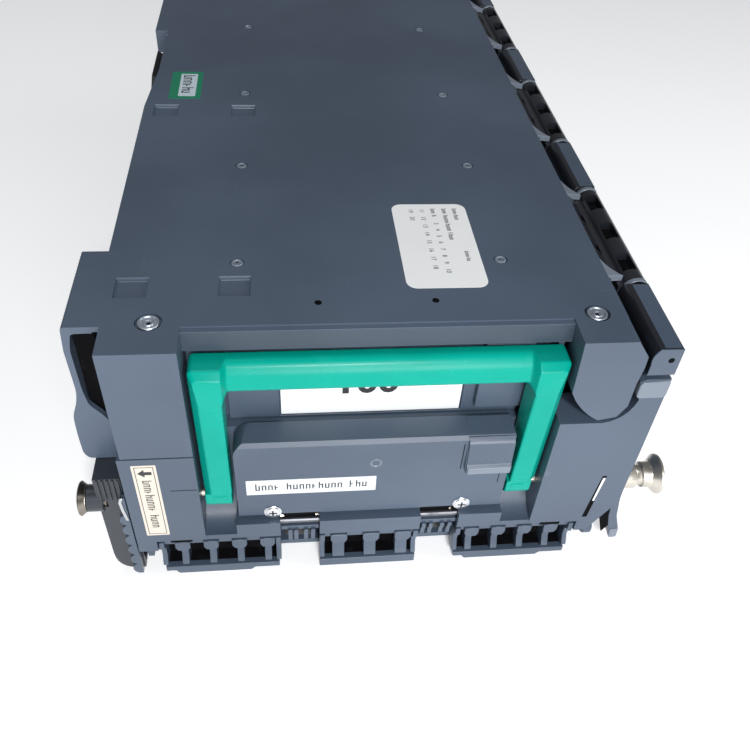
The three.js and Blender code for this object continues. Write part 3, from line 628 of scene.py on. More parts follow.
def dress(
    name: str,
    mesh: bpy.types.Mesh,
    body: str,
    finish: Finish,
    replaces: Sequence[str] = (),
    edge: float = 0.3,
    segments: int = 2,
) -> bpy.types.Object:
    """Turn a mesh into a finished piece that rides on a body."""
    made = bpy.data.objects.new(name, mesh)
    bpy.context.scene.collection.objects.link(made)
    mesh.materials.append(finish.material())
    if edge <= 0:
        sharpen(mesh)
    soften(made, edge, segments)
    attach(made, body)
    if replaces:
        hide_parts(*replaces)
    LOG.info("%s: %d faces, rides on %s", name, len(mesh.polygons), body)
    return made


def carved(mesh: bpy.types.Mesh, tool: Mesh, operation: str = "DIFFERENCE") -> bpy.types.Mesh:
    """Cut a closed shape out of a mesh, or join it on.

    Args:
        mesh: the mesh to cut.
        tool: the vertices and faces of the shape to cut away or join on.
        operation: DIFFERENCE or UNION.

    Returns:
        A new mesh.
    """
    holder = bpy.data.objects.new("carved", mesh)
    tool_mesh = bpy.data.meshes.new("carving_tool")
    tool_mesh.from_pydata(tool[0], [], tool[1])
    outward(tool_mesh)
    cutter = bpy.data.objects.new("carving_tool", tool_mesh)
    for made in (holder, cutter):
        bpy.context.scene.collection.objects.link(made)
    cut = holder.modifiers.new("cut", "BOOLEAN")
    cut.operation, cut.solver, cut.object = operation, "EXACT", cutter
    graph = bpy.context.evaluated_depsgraph_get()
    result = bpy.data.meshes.new_from_object(holder.evaluated_get(graph))
    for made in (holder, cutter):
        bpy.data.objects.remove(made)
    return result


def moulded(
    node: str,
    body: str,
    finish: Finish,
    edge: float = 0.5,
    segments: int = 3,
    cuts: Sequence[Mesh] = (),
    skin: float = 0.0,
    joins: Sequence[Mesh] = (),
    also: Sequence[str] = (),
) -> bpy.types.Object:
    """Make a moulding from a frame node.

    Args:
        node: the frame node whose mesh is copied.
        body: the body that it rides on.
        finish: what it is made of.
        edge: how far its edges are rounded, in millimetres.
        segments: how many steps make the rounding.
        cuts: closed shapes to cut away.
        skin: how far the lid's top is lowered, in millimetres, which leaves room for labels.
        joins: closed shapes to join on before the cuts.
        also: other frame nodes that it stands for.

    Returns:
        The new object.
    """
    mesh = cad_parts[node].data.copy()
    mesh.materials.clear()
    edited(mesh, merge)
    if skin:
        places = np.zeros(len(mesh.vertices) * 3)
        mesh.vertices.foreach_get("co", places)
        places = places.reshape(-1, 3)
        places[places[:, 2] > (TOP - MERGE) * MM, 2] -= skin * MM
        mesh.vertices.foreach_set("co", places.ravel())
    for tool in joins:
        mesh = carved(mesh, tool, "UNION")
    for tool in cuts:
        mesh = carved(mesh, tool)
    edited(mesh, merge_flat)
    return dress(node + "_shell", mesh, body, finish, (node, *also), edge, segments)


def repaint(nodes: Iterable[str], finish: Finish) -> None:
    """Give a finish to frame nodes that stay in view as they are."""
    for node in nodes:
        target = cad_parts[node]
        for place in target.material_slots:
            place.material = finish.material()
        if not target.material_slots:
            target.data.materials.append(finish.material())
        LOG.info("%s: keeps its shape, finish %s", node, finish.name)


# ---------------------------------------------------------------------------------------------- the cassette


@dataclass
class Studio:
    """The pale floor, the soft lights and the camera."""

    eye: tuple[float, float, float] = (-0.0358, -0.4316, 0.3475)
    forward: tuple[float, float, float] = (0.1065, 0.7123, -0.6938)
    upward: tuple[float, float, float] = (0.0282, 0.6953, 0.7181)
    lens: float = 38.11
    sensor_width: float = 36.0
    clip: tuple[float, float] = (0.01, 50.0)
    lights_aim: tuple[float, float, float] = (0.0, -0.05, 0.08)
    floor_half: float = 3.0
    floor_glow: float = 0.30
    world_colour: tuple[float, float, float] = (0.93, 0.96, 1.0)
    world_strength: float = 0.17
    lights: tuple[tuple[str, tuple[float, float, float], float, float], ...] = (
        ("key_light", (0.20, -1.60, 0.42), 0.6, 12.5),
        ("near_light", (0.05, -1.05, 0.80), 0.14, 9.0),
        ("overhead_light", (-0.25, 0.25, 1.5), 0.6, 3.0),
        ("side_light", (1.2, -0.3, 0.8), 0.6, 4.0),
    )

    def build(self) -> None:
        """Build the floor, the lights and the camera."""
        self.floor()
        self.lighting()
        self.camera()

    def floor(self) -> None:
        """Lay the floor under the skids, as one face."""
        half = self.floor_half
        mesh = bpy.data.meshes.new("floor")
        corners = [(-half, -half, 0), (half, -half, 0), (half, half, 0), (-half, half, 0)]
        mesh.from_pydata(corners, [], [(0, 1, 2, 3)])
        floor = bpy.data.objects.new("floor", mesh)
        bpy.context.scene.collection.objects.link(floor)
        graph = Graph("floor_pale")
        cloud = graph.noise(3.0, 2.0)
        graph.feed("Base Color", graph.blend(cloud, (0.90, 0.90, 0.905), (0.94, 0.94, 0.945)))
        graph.feed("Roughness", 0.75)
        graph.feed("Emission Color", graph.blend(cloud, (0.97, 0.98, 1.0), (1.0, 1.0, 1.0)))
        graph.feed("Emission Strength", self.floor_glow)
        mesh.materials.append(graph.material)

    def lighting(self) -> None:
        """Place the area lights, each facing the cassette, and a pale world."""
        for name, place, size, power in self.lights:
            data = bpy.data.lights.new(name, "AREA")
            data.size, data.energy = size, power
            light = bpy.data.objects.new(name, data)
            light.location = place
            away = Vector(place) - Vector(self.lights_aim)
            light.rotation_euler = away.to_track_quat("Z", "Y").to_euler()
            bpy.context.scene.collection.objects.link(light)
        world = bpy.data.worlds.new("pale_room")
        world.use_nodes = True
        sky = world.node_tree.nodes["Background"]
        sky.inputs["Color"].default_value = (*self.world_colour, 1.0)
        sky.inputs["Strength"].default_value = self.world_strength
        bpy.context.scene.world = world
        bpy.context.scene.view_settings.view_transform = "Standard"

    def camera(self) -> None:
        """Place the camera from its eye point, its forward direction and its upward direction."""
        data = bpy.data.cameras.new("camera")
        data.lens, data.sensor_width = self.lens, self.sensor_width
        data.clip_start, data.clip_end = self.clip
        camera = bpy.data.objects.new("camera", data)
        back_way = -Vector(self.forward).normalized()
        up = Vector(self.upward)
        right = up.cross(back_way).normalized()
        up = back_way.cross(right)
        turn = Matrix((right, up, back_way)).transposed().to_4x4()
        camera.matrix_world = Matrix.Translation(self.eye) @ turn
        bpy.context.scene.collection.objects.link(camera)
        bpy.context.scene.camera = camera


@dataclass
class CarryHandle:
    """The teal handle: a bow with flat arms, a bar set back between them, and a cap on each arm's end."""

    outer: float = 75.4
    inner: float = 63.0
    front: float = 0.9
    cap_front: float = 3.0
    rear: float = 15.0
    top: float = 13.4
    bar_bottom: float = 27.2
    right_stretch: tuple[float, float] = (0.030, 0.026)
    cap_line: float = 88.6
    pivot_back: float = 9.0
    pivot_drop: float = 94.0
    end_radius: float = 6.0
    fillet: float = 3.4
    corner: float = 2.2
    cap_inset: float = 0.15
    line_width: float = 0.35

    def build(self) -> None:
        """Build the bow and the caps."""
        piece("handle_bow", self.bow(), "handle", Finishes.HANDLE, ("carry_handle",), 0)
        for side, word in ((-1, "left"), (1, "right")):
            piece(f"handle_cap_{word}", self.cap(side), "handle", Finishes.HANDLE, (), 0.7, 3)
            piece(f"handle_cap_catch_{word}", self.catch(side), "handle", Finishes.HANDLE, (), 0.25)

    def bow(self) -> Mesh:
        """Carry a section round the bow.

        Each station is a line from the bow's outer edge to its inner edge. The lines lie level up an arm, fan
        round its top corner, and stand upright along the bar. The section blends from the arm's flat front to
        the bar's sloping front just past the fan.
        """
        half = [*self.arm_lines(), *self.fan_lines(), *self.bar_lines()]
        rings = [self.ring(outer, inner, share) for outer, inner, share in half]
        mirrored = [self.mirror(ring) for ring in reversed(rings)]
        return lofted(np.array(rings + mirrored))

    def arm_lines(self) -> list[tuple[tuple[float, float], tuple[float, float], float]]:
        """Return the level lines of the left arm, from its lower end up."""
        foot = self.bar_bottom + self.fillet
        drops = np.linspace(self.cap_line, foot, 8)
        return [((-self.outer, drop), (-self.inner, drop), 0.0) for drop in drops]

    def fan_lines(self) -> list[tuple[tuple[float, float], tuple[float, float], float]]:
        """Return the lines that fan round the left corner, about the lower end of the fillet."""
        middle = (self.corner - self.outer, self.top + self.corner)
        rounding = [
            (middle[0] - self.corner * np.cos(a), middle[1] - self.corner * np.sin(a))
            for a in np.radians(np.linspace(0, 90, 6))
        ]
        edge = [(-self.outer, 22.0), *rounding, (-69.0, self.top), (-self.inner, self.top)]
        return [(at, (-self.inner, self.bar_bottom + self.fillet), 0.0) for at in edge]

    def bar_lines(self) -> list[tuple[tuple[float, float], tuple[float, float], float]]:
        """Return the upright lines of the bar's left half, whose lower ends follow the fillet's arc."""
        run = np.concatenate([np.linspace(0.15, 1.0, 8) * self.fillet, np.linspace(5.0, self.inner, 14)])
        lines = []
        for step in run:
            short = max(0.0, self.fillet - step)
            rise = self.fillet - np.sqrt(self.fillet**2 - short**2)
            share = np.clip((step - 0.2) / 2.4, 0.0, 1.0)
            x = -self.inner + step
            lines.append(((x, self.top), (x, self.bar_bottom + rise), share * share * (3 - 2 * share)))
        return lines

    def ring(self, outer: tuple[float, float], inner: tuple[float, float], share: float) -> Array:
        """Return one section: the arm's box at share 0 and the bar's sloping form at share 1.

        The arm's front falls back from the handle's front at the top to the caps' front at the foot.
        """
        ends = np.array([outer, inner])
        width = float(np.linalg.norm(ends[1] - ends[0]))
        near = self.front + (self.cap_front - self.front) * self.share_down(outer[1])
        rear = self.rear
        arm = [(rear, 0), (near + 3.4, 0), (near, 3.2), (near, 0.8 * width), (near, width), (rear, width)]
        bar = [(rear, 0), (9.6, 0), (6.2, 0.30 * width), (4.9, 0.84 * width), (6.4, width), (rear, width)]
        corners = np.array(arm, float) * (1 - share) + np.array(bar, float) * share
        slope_radius = 0.7 + 2 * share
        outline = softened(corners, (0.8, slope_radius, slope_radius, 2.0, 1.3, 0.8), 5)
        along = outline[:, 1:] / width
        place = ends[0] * (1 - along) + ends[1] * along
        return np.column_stack([place[:, 0], back(outline[:, 0]), down(place[:, 1])])

    def mirror(self, ring: Array) -> Array:
        """Return a section on the right side, which is a little wider, most of all at its top."""
        top, foot = self.right_stretch
        wider = 1.0 + top + (foot - top) * self.share_down(TOP - ring[:, 2])
        return np.column_stack([-ring[:, 0] * wider, ring[:, 1], ring[:, 2]])

    def share_down(self, drop: Array | float) -> Array:
        """Return 0 at the handle's top and 1 at the caps, for a depth below the lid."""
        return np.clip((drop - self.top) / (self.cap_line - self.top), 0.0, 1.0)

    def cap(self, side: int) -> Mesh:
        """Carry the cap's outline across: straight sides, then a half circle about the pivot."""
        centre = (back(self.pivot_back), down(self.pivot_drop))
        end = arc(centre, self.end_radius - self.cap_inset, 180.0, 360.0, 20)
        start = down(self.cap_line + self.line_width)
        front, rear = back(self.cap_front + self.cap_inset), back(self.rear - self.cap_inset)
        outline = np.concatenate([[(front, start)], end, [(rear, start)]])
        return carried(outline, (side * (self.inner + 0.3), side * (self.outer - 0.2)), Axis.X)

    def catch(self, side: int) -> Mesh:
        """Return the small raised tongue on a cap's front."""
        middle = side * (self.inner + self.outer - 1.5) / 2
        return block((middle - 3.0, middle + 3.0), (back(2.85), back(4.4)), (down(92.6), down(90.6)))


@dataclass
class Screw:
    """A cross-recessed pan screw with a washer, seen from its head."""

    centre: tuple[float, float, float]
    axis: Axis
    outward: int
    head: float = 3.3
    washer: float = 4.3
    recess: float = 1.9

    def build(self, name: str, body: str, node: str) -> None:
        """Build the washer, the head and the cross of its recess, in painted shade."""
        washer = [(-0.3, 0.0), (-0.3, self.washer), (0.15, self.washer), (0.3, self.washer - 0.2), (0.3, 0.0)]
        dome = [
            (0.3, 0.0), (0.3, self.head), (0.6, self.head), (0.9, self.head * 0.86), (1.02, self.head * 0.55),
            (1.05, 0.0),
        ]
        shank = [(-6.0, 0.0), (-6.0, 1.6), (0.0, 1.6), (0.0, 0.0)]
        shapes = [self.turned(washer, 40), self.turned(dome, 40), self.turned(shank, 16)]
        made = piece(name, together(shapes), body, Finishes.ZINC, (node,), 0)
        made.modifiers.clear()
        # painted shade: the recess drawn as a dark cross on the head
        arms = [self.cross_arm(turn) for turn in (0, 1)]
        piece(name + "_recess", together(arms), body, Finishes.INK, (), 0)

    def turned(self, line: Sequence[tuple[float, float]], steps: int) -> Mesh:
        """Turn a profile about the screw's axis, outwards from its seat."""
        return revolved([(self.outward * t, r) for t, r in line], self.centre, self.axis, steps)

    def cross_arm(self, turn: int) -> Mesh:
        """Return one arm of the cross in painted shade, which stands proud of the head by a hair."""
        half = (self.recess, 0.42) if turn else (0.42, self.recess)
        along, across = self.axis.value
        spans: list[tuple[float, float]] = [(0.0, 0.0)] * 3
        near, far = self.outward * 0.7, self.outward * 1.07
        spans[along] = (self.centre[along] + near, self.centre[along] + far)
        for place, size in zip(across, half):
            spans[place] = (self.centre[place] - size, self.centre[place] + size)
        return block(*spans)


@dataclass
class GuideStud:
    """A turned stud with a groove and a cone flange, on each side near the front."""

    depth: float = 8.0
    height: float = 54.0
    wall_right: float = 120.5
    left_end: float = -127.6

    def build(self) -> None:
        """Turn both studs from their profiles."""
        right = [
            (-8.6, 0.0), (-8.6, 3.9), (0.4, 3.9), (0.45, 6.2), (0.7, 6.5), (6.0, 6.5), (6.5, 6.2), (6.7, 5.4),
            (7.3, 5.1), (9.2, 5.1), (9.7, 5.5), (10.0, 6.1), (10.4, 6.25), (13.6, 6.35), (14.2, 6.6),
            (16.8, 9.3), (17.2, 9.65), (18.0, 9.75), (18.3, 9.6), (18.4, 9.2), (18.4, 0.0),
        ]
        left = [
            (-3.4, 0.0), (-3.4, 3.0), (-3.2, 6.4), (-2.7, 7.7), (-2.2, 7.9), (-1.8, 7.6), (-0.2, 6.3),
            (0.3, 6.2), (0.5, 3.9), (8.8, 3.9), (8.8, 0.0),
        ]
        sides = (
            ("right", right, self.wall_right, Finishes.STEEL),
            ("left", left, self.left_end, Finishes.BRONZED),
        )
        for name, profile, x, finish in sides:
            shape = revolved(profile, (x, back(self.depth), self.height), Axis.X, 72)
            piece(f"guide_stud_{name}_turned", shape, "case", finish, (f"guide_stud_{name}",), 0)


@dataclass
class Combs:
    """The three note guide combs: a foot bar with a lower middle, ribs with hooked tops, and a head rail."""

    skid: float = 0.0
    foot_top: float = 5.6
    rail: tuple[float, float] = (22.6, 27.4)
    tab_half: float = 3.5
    middle: float = 1.2
    first_rib: float = 49.9
    pitch: float = 13.3
    ribs: int = 4

    def build(self) -> None:
        """Build the left, middle and right combs."""
        left = [self.middle - self.first_rib - self.pitch * i for i in range(self.ribs)]
        right = [self.middle + self.first_rib + self.pitch * i for i in range(self.ribs)]
        self.comb("left", (-99.5, -42.4), left, 3.4)
        self.comb("middle", (-23.6, 24.2), [-14.4, self.middle, 16.8], 6.0)
        self.comb("right", (43.0, 102.5), right, 3.4)

    def comb(self, word: str, span: tuple[float, float], ribs: Sequence[float], width: float) -> None:
        """Build one comb from its parts."""
        x0, x1 = span
        foot = self.plain_foot(x0, x1) if word == "middle" else self.skid_foot(x0, x1)
        parts = [plate(foot, 0.9, 11.2), block((x0, x1), (back(2.6), back(10.2)), self.rail)]
        for x in ribs:
            parts.append(self.rib(x, width))
            parts.append(self.tab(x, max(self.tab_half, width / 2 + 1.0)))
        for x in (x0 + 1.2, x1 - 1.2):
            parts.append(self.rib(x, 2.4))
        rear = block((x0 + 0.6, x1 - 0.6), (back(10.3), back(11.0)), (5.0, 24.0))
        floor_z = (self.foot_top - 0.2, self.foot_top + 0.15)
        floor = block((x0 + 1.4, x1 - 1.4), (back(4.2), back(10.2)), floor_z)
        piece(f"comb_{word}_shade", together([rear, floor]), "case", Finishes.SHADE, (), 0)
        piece(f"comb_{word}_moulding", together(parts), "case", Finishes.CASING, (f"comb_{word}",), 0.35)

    def plain_foot(self, x0: float, x1: float) -> Array:
        """Return the outline of the middle comb's foot bar."""
        return np.array([(x0, 0), (x1, 0), (x1, self.foot_top), (x0, self.foot_top)], float)

    def skid_foot(self, x0: float, x1: float) -> Array:
        """Return the outline of an outer comb's foot bar, which steps down to a skid."""
        outline = [
            (x0 + 1, 2.4), (x0 + 5.5, 2.4), (x0 + 7, self.skid), (x1 - 15, self.skid), (x1 - 13, 2.0),
            (x1 - 1, 2.0), (x1 - 1, self.foot_top), (x0 + 1, self.foot_top),
        ]
        return np.array(outline, float)

    def rib(self, x: float, width: float) -> Mesh:
        """Carry a rib's outline across its width: hooked at the top, hollow below it, full at the foot."""
        swell = arc((back(3.6), 8.0), 2.4, 180.0, 250.0, 5)
        hollow = [(back(0.8), 26.0), (back(0.8), 21.0), (back(3.4), 18.6), (back(3.7), 13.0)]
        outline = np.concatenate([hollow, swell, [(back(3.6), 5.0), (back(11.0), 5.0), (back(10.0), 26.0)]])
        return carried(outline, (x - width / 2, x + width / 2), Axis.X)

    def tab(self, x: float, half: float) -> Mesh:
        """Return the hooked tab at a rib's top, which narrows downwards."""
        low, high = x - half, x + half
        left = [(low, 25.8), (low, 21.6), (low + 1.2, 19.4)]
        right = [(high - 1.2, 19.4), (high, 21.6), (high, 25.8)]
        return plate(np.array(left + right), 0.7, 3.6)


@dataclass
class LidEar:
    """The ear on the lid's left edge: flat above, swelling below, with a deep gap beside the column."""

    inner: float = -109.4
    near: float = 16.0
    far: float = 65.0

    def solid(self) -> Mesh:
        """Carry the ear's outline along the lid."""
        line = [
            (self.inner, LID_SKIN), (-121.3, LID_SKIN), (-122.3, 12.0), (-121.9, 34.0), (-123.2, 41.0),
            (-126.0, 48.0), (-126.5, 60.0), (-126.4, 72.0), (-124.4, 75.5), (-110.3, 75.6), (-110.3, 3.0),
            (self.inner, 2.6),
        ]
        radii = (0.1, 1.2, 1.0, 2.6, 3.4, 4.0, 3.0, 2.0, 2.0, 0.3, 0.1, 0.1)
        return plate(softened(front_view(line), radii, 6), self.near, self.far)

    def hollows(self) -> list[Mesh]:
        """Return the ear's inside and the opening in its front, which ends above the swelling."""
        line = [
            (-109.6, 3.2), (-118.2, 3.4), (-119.8, 12.0), (-119.5, 33.0), (-118.4, 42.0), (-114.0, 48.0),
            (-109.6, 56.0),
        ]
        inside, foot = (back(18.8), back(62.4)), down(76.5)
        return [
            block((-119.4, -109.6), inside, (foot, down(2.8))),
            block((-123.8, -109.6), inside, (foot, down(50.0))),
            plate(softened(front_view(line), 1.6, 4), 12.0, 60.0),
        ]

    def build(self) -> None:
        """Hang a sheet of painted shade inside the ear, which closes the view through the gap."""
        ear_shade = block((-119.0, -110.6), (back(20.4), back(22.0)), (down(75.0), down(3.2)))
        piece("lid_ear_painted_shade", ear_shade, "lid", Finishes.SHADE, (), 0.2)


@dataclass
class LidTop:
    """The lid's moulding and what stands on it or is sunk into it."""

    boss_x: float = 56.5
    boss_depths: tuple[float, ...] = (55.8, 136.2, 216.5, 314.3, 394.7)
    hole_x: float = 23.8
    hole_depths: tuple[float, ...] = (28.2, 394.0)
    screw_depth: float = 18.4
    screw_places: tuple[tuple[str, float], ...] = (("left", -89.0), ("right", 88.8))
    pocket_x: tuple[float, ...] = (-98.0, -57.0)
    pocket_depths: tuple[float, ...] = (40.0, 195.0)
    screw_seat: tuple[float, float] = (5.3, 2.0)
    boss_seat: tuple[float, float] = (3.1, 1.0)

    def build(self) -> None:
        """Build the moulding, its recess's painted shade, the ring bosses, the small holes and the cup
        screws.
        """
        hinge_side = block((100.85, 130.0), (back(20), back(430)), (down(40), TOP + 2))
        pockets = [self.pocket(x, depth) for x in self.pocket_x for depth in self.pocket_depths]
        seats = [self.seat((x, back(self.screw_depth), TOP), *self.screw_seat) for _, x in self.screw_places]
        bosses = [(x, back(depth), TOP) for depth in self.boss_depths for x in (-self.boss_x, self.boss_x)]
        seats += [self.seat(centre, *self.boss_seat) for centre in bosses]
        ear = LidEar()
        tools = [hinge_side, *ear.hollows(), together([*pockets, *seats])]
        moulded("lid", "lid", Finishes.CASING, 0.45, 3, tools, LID_SKIN, (ear.solid(),), ("lid_ear",))
        rings, pits = [], []
        for centre in bosses:
            rings.append(self.ring(centre))
            pits.append(self.disc((centre[0], centre[1], TOP - LID_SKIN), 0.5))
        for depth in self.hole_depths:
            pits += [self.disc((x, back(depth), TOP - 0.1), 1.5) for x in (-self.hole_x, self.hole_x)]
        # painted shade: a darker sheet over the recess's back wall, standing for the shade that falls there
        recess_shade = block((-76.9, 78.3), (back(12.64), back(13.0)), (down(10.2), down(1.4)))
        piece("lid_recess_painted_shade", recess_shade, "lid", Finishes.CASING_RECESSED, (), 0.1)
        # the ring bosses' crests carry a painted highlight
        piece("lid_ring_bosses", together(rings), "lid", Finishes.CASING_WORN, (), 0)
        piece("lid_small_holes", together(pits), "lid", Finishes.SHADE, (), 0)
        for word, x in self.screw_places:
            self.cup_screw(word, x)

    def pocket(self, x: float, depth: float) -> Mesh:
        """Return a pocket's hollow: a square whose four sides slope in to a smaller floor."""
        signs = ((-1, -1), (1, -1), (1, 1), (-1, 1))
        steps = ((7.0, -1.0), (6.5, LID_SKIN), (5.7, 1.9))
        y = back(depth)
        rings = [[(x + a * half, y + b * half, down(drop)) for a, b in signs] for half, drop in steps]
        return lofted(np.array(rings))

    def seat(self, centre: tuple[float, float, float], radius: float, depth: float) -> Mesh:
        """Return the round hollow that a screw or a ring boss sits in."""
        return revolved([(-depth, 0.0), (-depth, radius), (1.0, radius), (1.0, 0.0)], centre, Axis.Z, 40)

    def ring(self, centre: tuple[float, float, float]) -> Mesh:
        """Turn a low ring with a rounded crest, a gap round it and a sunk middle."""
        line = [
            (-1.1, 0.0), (-1.1, 2.5), (-0.35, 2.5), (-0.08, 2.25), (-0.01, 1.95), (-0.12, 1.65), (-0.7, 1.4),
            (-0.7, 0.95), (-0.25, 0.75), (-0.22, 0.0),
        ]
        return revolved(line, centre, Axis.Z, 36)

    def disc(self, centre: tuple[float, float, float], radius: float) -> Mesh:
        """Return a thin dark disc that reads as a hole."""
        return revolved([(-0.4, 0.0), (-0.4, radius), (0.0, radius), (0.0, 0.0)], centre, Axis.Z, 24)

    def cup_screw(self, word: str, x: float) -> None:
        """Turn a screw whose head is a raised rim round a sunk face with a small socket."""
        centre = (x, back(self.screw_depth), TOP)
        head = [
            (-5.5, 0.0), (-5.5, 1.6), (-1.3, 1.6), (-1.3, 4.3), (-0.55, 4.35), (-0.2, 4.1), (-0.12, 3.8),
            (-0.2, 3.5), (-0.7, 3.25), (-0.7, 2.3), (-0.35, 2.0), (-0.28, 1.7), (-0.4, 1.25), (-1.0, 1.1),
            (-1.0, 0.0),
        ]
        name, node = f"lid_{word}_cup_screw", f"lid_screw_{word}"
        piece(name, revolved(head, centre, Axis.Z, 56), "lid", Finishes.CUP, (node,), 0)
        socket = [(-1.1, 0.0), (-1.1, 0.9), (-0.93, 0.9), (-0.93, 0.0)]
        piece(name + "_socket", revolved(socket, centre, Axis.Z, 6), "lid", Finishes.SHADE, (), 0)


@dataclass
class HingeLine:
    """The hinge along the right edge: D-shaped barrels on the case and windowed knuckles on the lid."""

    x: float = 116.5
    drop: float = 10.3
    wall: float = 120.5
    barrel_radius: float = 8.1
    knuckle_radius: float = 6.0
    top_drop: float = 4.5
    foot_drop: float = 18.0
    barrels: tuple[tuple[float, float], ...] = ((0, 43), (122, 169), (248, 295), (374, 424))
    window_x: float = 112.6
    window: tuple[float, float] = (6.2, 12.4)
    windows: int = 3

    @property
    def knuckles(self) -> list[tuple[float, float]]:
        """Return the depth of each knuckle's two ends, between the barrels."""
        pairs = zip(self.barrels[:-1], self.barrels[1:])
        return [(before[1] + 0.6, after[0] - 0.6) for before, after in pairs]

    def build(self) -> None:
        """Build the barrels with their pin holes, and the knuckles with their caps and webs."""
        barrels = [plate(self.barrel(), a, b) for a, b in self.barrels]
        # the barrels' curved sides are painted in shade, and their flat tops keep the casing's colour
        piece("hinge_barrels", together(barrels), "case", Finishes.HINGE, (), 0.55, 3)
        top_x, top_z = (self.window_x, self.wall - 0.4), (down(5.2), down(self.top_drop - 0.05))
        tops = [block(top_x, (back(a + 0.8), back(b - 0.8)), top_z) for a, b in self.barrels]
        piece("hinge_barrel_tops", together(tops), "case", Finishes.CASING_SMOOTH, (), 0.3)
        piece("hinge_barrel_end", plate(self.barrel(), -0.25, 0.5), "case", Finishes.CASING_SMOOTH, (), 0.3)
        hole = [(-0.3, 0.0), (-0.3, 1.35), (2.0, 1.35), (2.0, 0.0)]
        centre = (self.x, back(0), down(self.drop))
        piece("hinge_pin_hole", revolved(hole, centre, Axis.Y, 24), "case", Finishes.SHADE, (), 0)
        for number, span in enumerate(self.knuckles, 1):
            self.knuckle(number, span)
        # the knuckle caps carry a painted highlight
        caps = [self.cap(at) for a, b in self.knuckles for at in ((a, a + 2.3), (b - 2.3, b))]
        piece("hinge_knuckle_caps", together(caps), "lid", Finishes.CASING_WORN, (), 0.25)
        # the webs' faces that catch the light carry a painted highlight
        webs = [self.web(at) for a, b in self.knuckles for at in (a - 0.4, b - 12.0)]
        piece("hinge_webs", together(webs), "lid", Finishes.CASING_WORN, (), 0.3)
        piece("hinge_lid_lip", self.lip(), "lid", Finishes.CASING, (), 0.4)

    def barrel(self) -> Array:
        """Return the barrel's outline: flat on top, round at the left, straight at the right."""
        rise = self.drop - self.top_drop
        start = np.degrees(np.arctan2(rise, -np.sqrt(self.barrel_radius**2 - rise**2)))
        side = arc((self.x, down(self.drop)), self.barrel_radius, start, 196.0, 12)
        foot = [(self.x - 7.8, down(self.foot_drop + 0.3)), (self.wall, down(self.foot_drop + 0.3))]
        return np.concatenate([[(self.wall, down(self.top_drop))], side, foot])

    def knuckle(self, number: int, span: tuple[float, float]) -> None:
        """Carry a knuckle's outline between its ends and cut a row of large and a row of small windows."""
        a, b = span
        centre = (self.x, down(self.drop))
        crown = arc(centre, self.knuckle_radius, -48.0, 150.0, 26)
        slope = front_view([(107.4, 6.4), (103.0, 2.6), (100.9, 1.0), (100.9, 5.4), (106.6, 10.6)])
        heel = arc(centre, self.knuckle_radius, 205.0, 222.0, 4)
        shape = plate(np.concatenate([crown, slope, heel]), a, b)
        # the knuckle, which curves down away from the light, is painted in shade
        made = piece(f"hinge_knuckle_{number}", shape, "lid", Finishes.HINGE, (), 0)
        pitch = (b - a - 4.0) / self.windows
        width, length = self.window
        mesh = made.data
        for i in range(self.windows):
            middle = a + 2.0 + (i + 0.55) * pitch
            large_y = (back(middle - length / 2), back(middle + length / 2))
            large = block((self.window_x, self.window_x + width), large_y, (down(9.4), TOP + 1))
            near = middle - pitch / 2
            small = block((103.2, 107.6), (back(near - 3.8), back(near + 3.8)), (down(9.0), TOP + 1))
            mesh = carved(carved(mesh, large), small)
        made.data = mesh
        sharpen(mesh, 25.0)
        bed = block((102.9, 118.6), (back(a + 3), back(b - 3)), (down(10.6), down(8.4)))
        piece(f"hinge_knuckle_bed_{number}", bed, "lid", Finishes.SHADE, (), 0)

    def cap(self, span: tuple[float, float]) -> Mesh:
        """Carry a ring's upper part along a cap."""
        centre = (self.x, down(self.drop))
        outside = arc(centre, self.knuckle_radius + 0.5, -20.0, 152.0, 24)
        inside = arc(centre, self.knuckle_radius - 1.2, 152.0, -20.0, 24)
        outline = np.minimum(np.concatenate([outside, inside]), np.array([self.wall, TOP]))
        return plate(outline, *span)

    def web(self, near: float) -> Mesh:
        """Return a three-cornered web with a hollow long side, between the lid's edge and a knuckle's end."""
        lid_edge, slope = 100.6, 0.34
        edge, tip = np.array((lid_edge, near)), np.array((110.6, near + 4.6))
        far = np.array((lid_edge, near + 16.5))
        t = np.linspace(0, 1, 9)[:, None]
        long_side = tip * (1 - t) ** 2 + 2 * t * (1 - t) * np.array((103.2, near + 6.4)) + far * t**2
        outline = np.concatenate([[edge], long_side])
        outline[:, 1] = back(outline[:, 1])
        points, faces = carried(outline, (down(3.6), down(0.5)), Axis.Z)
        points[:, 2] -= np.clip(points[:, 0] - lid_edge * MM, 0.0, None) * slope
        return points, faces

    def lip(self) -> Mesh:
        """Return the narrow rounded lip along the lid's right edge."""
        line = front_view([(99.6, LID_SKIN), (101.4, 0.5), (101.6, 6.0), (99.6, 6.0)])
        return plate(softened(line, 0.5, 3), 15.8, 423.4)


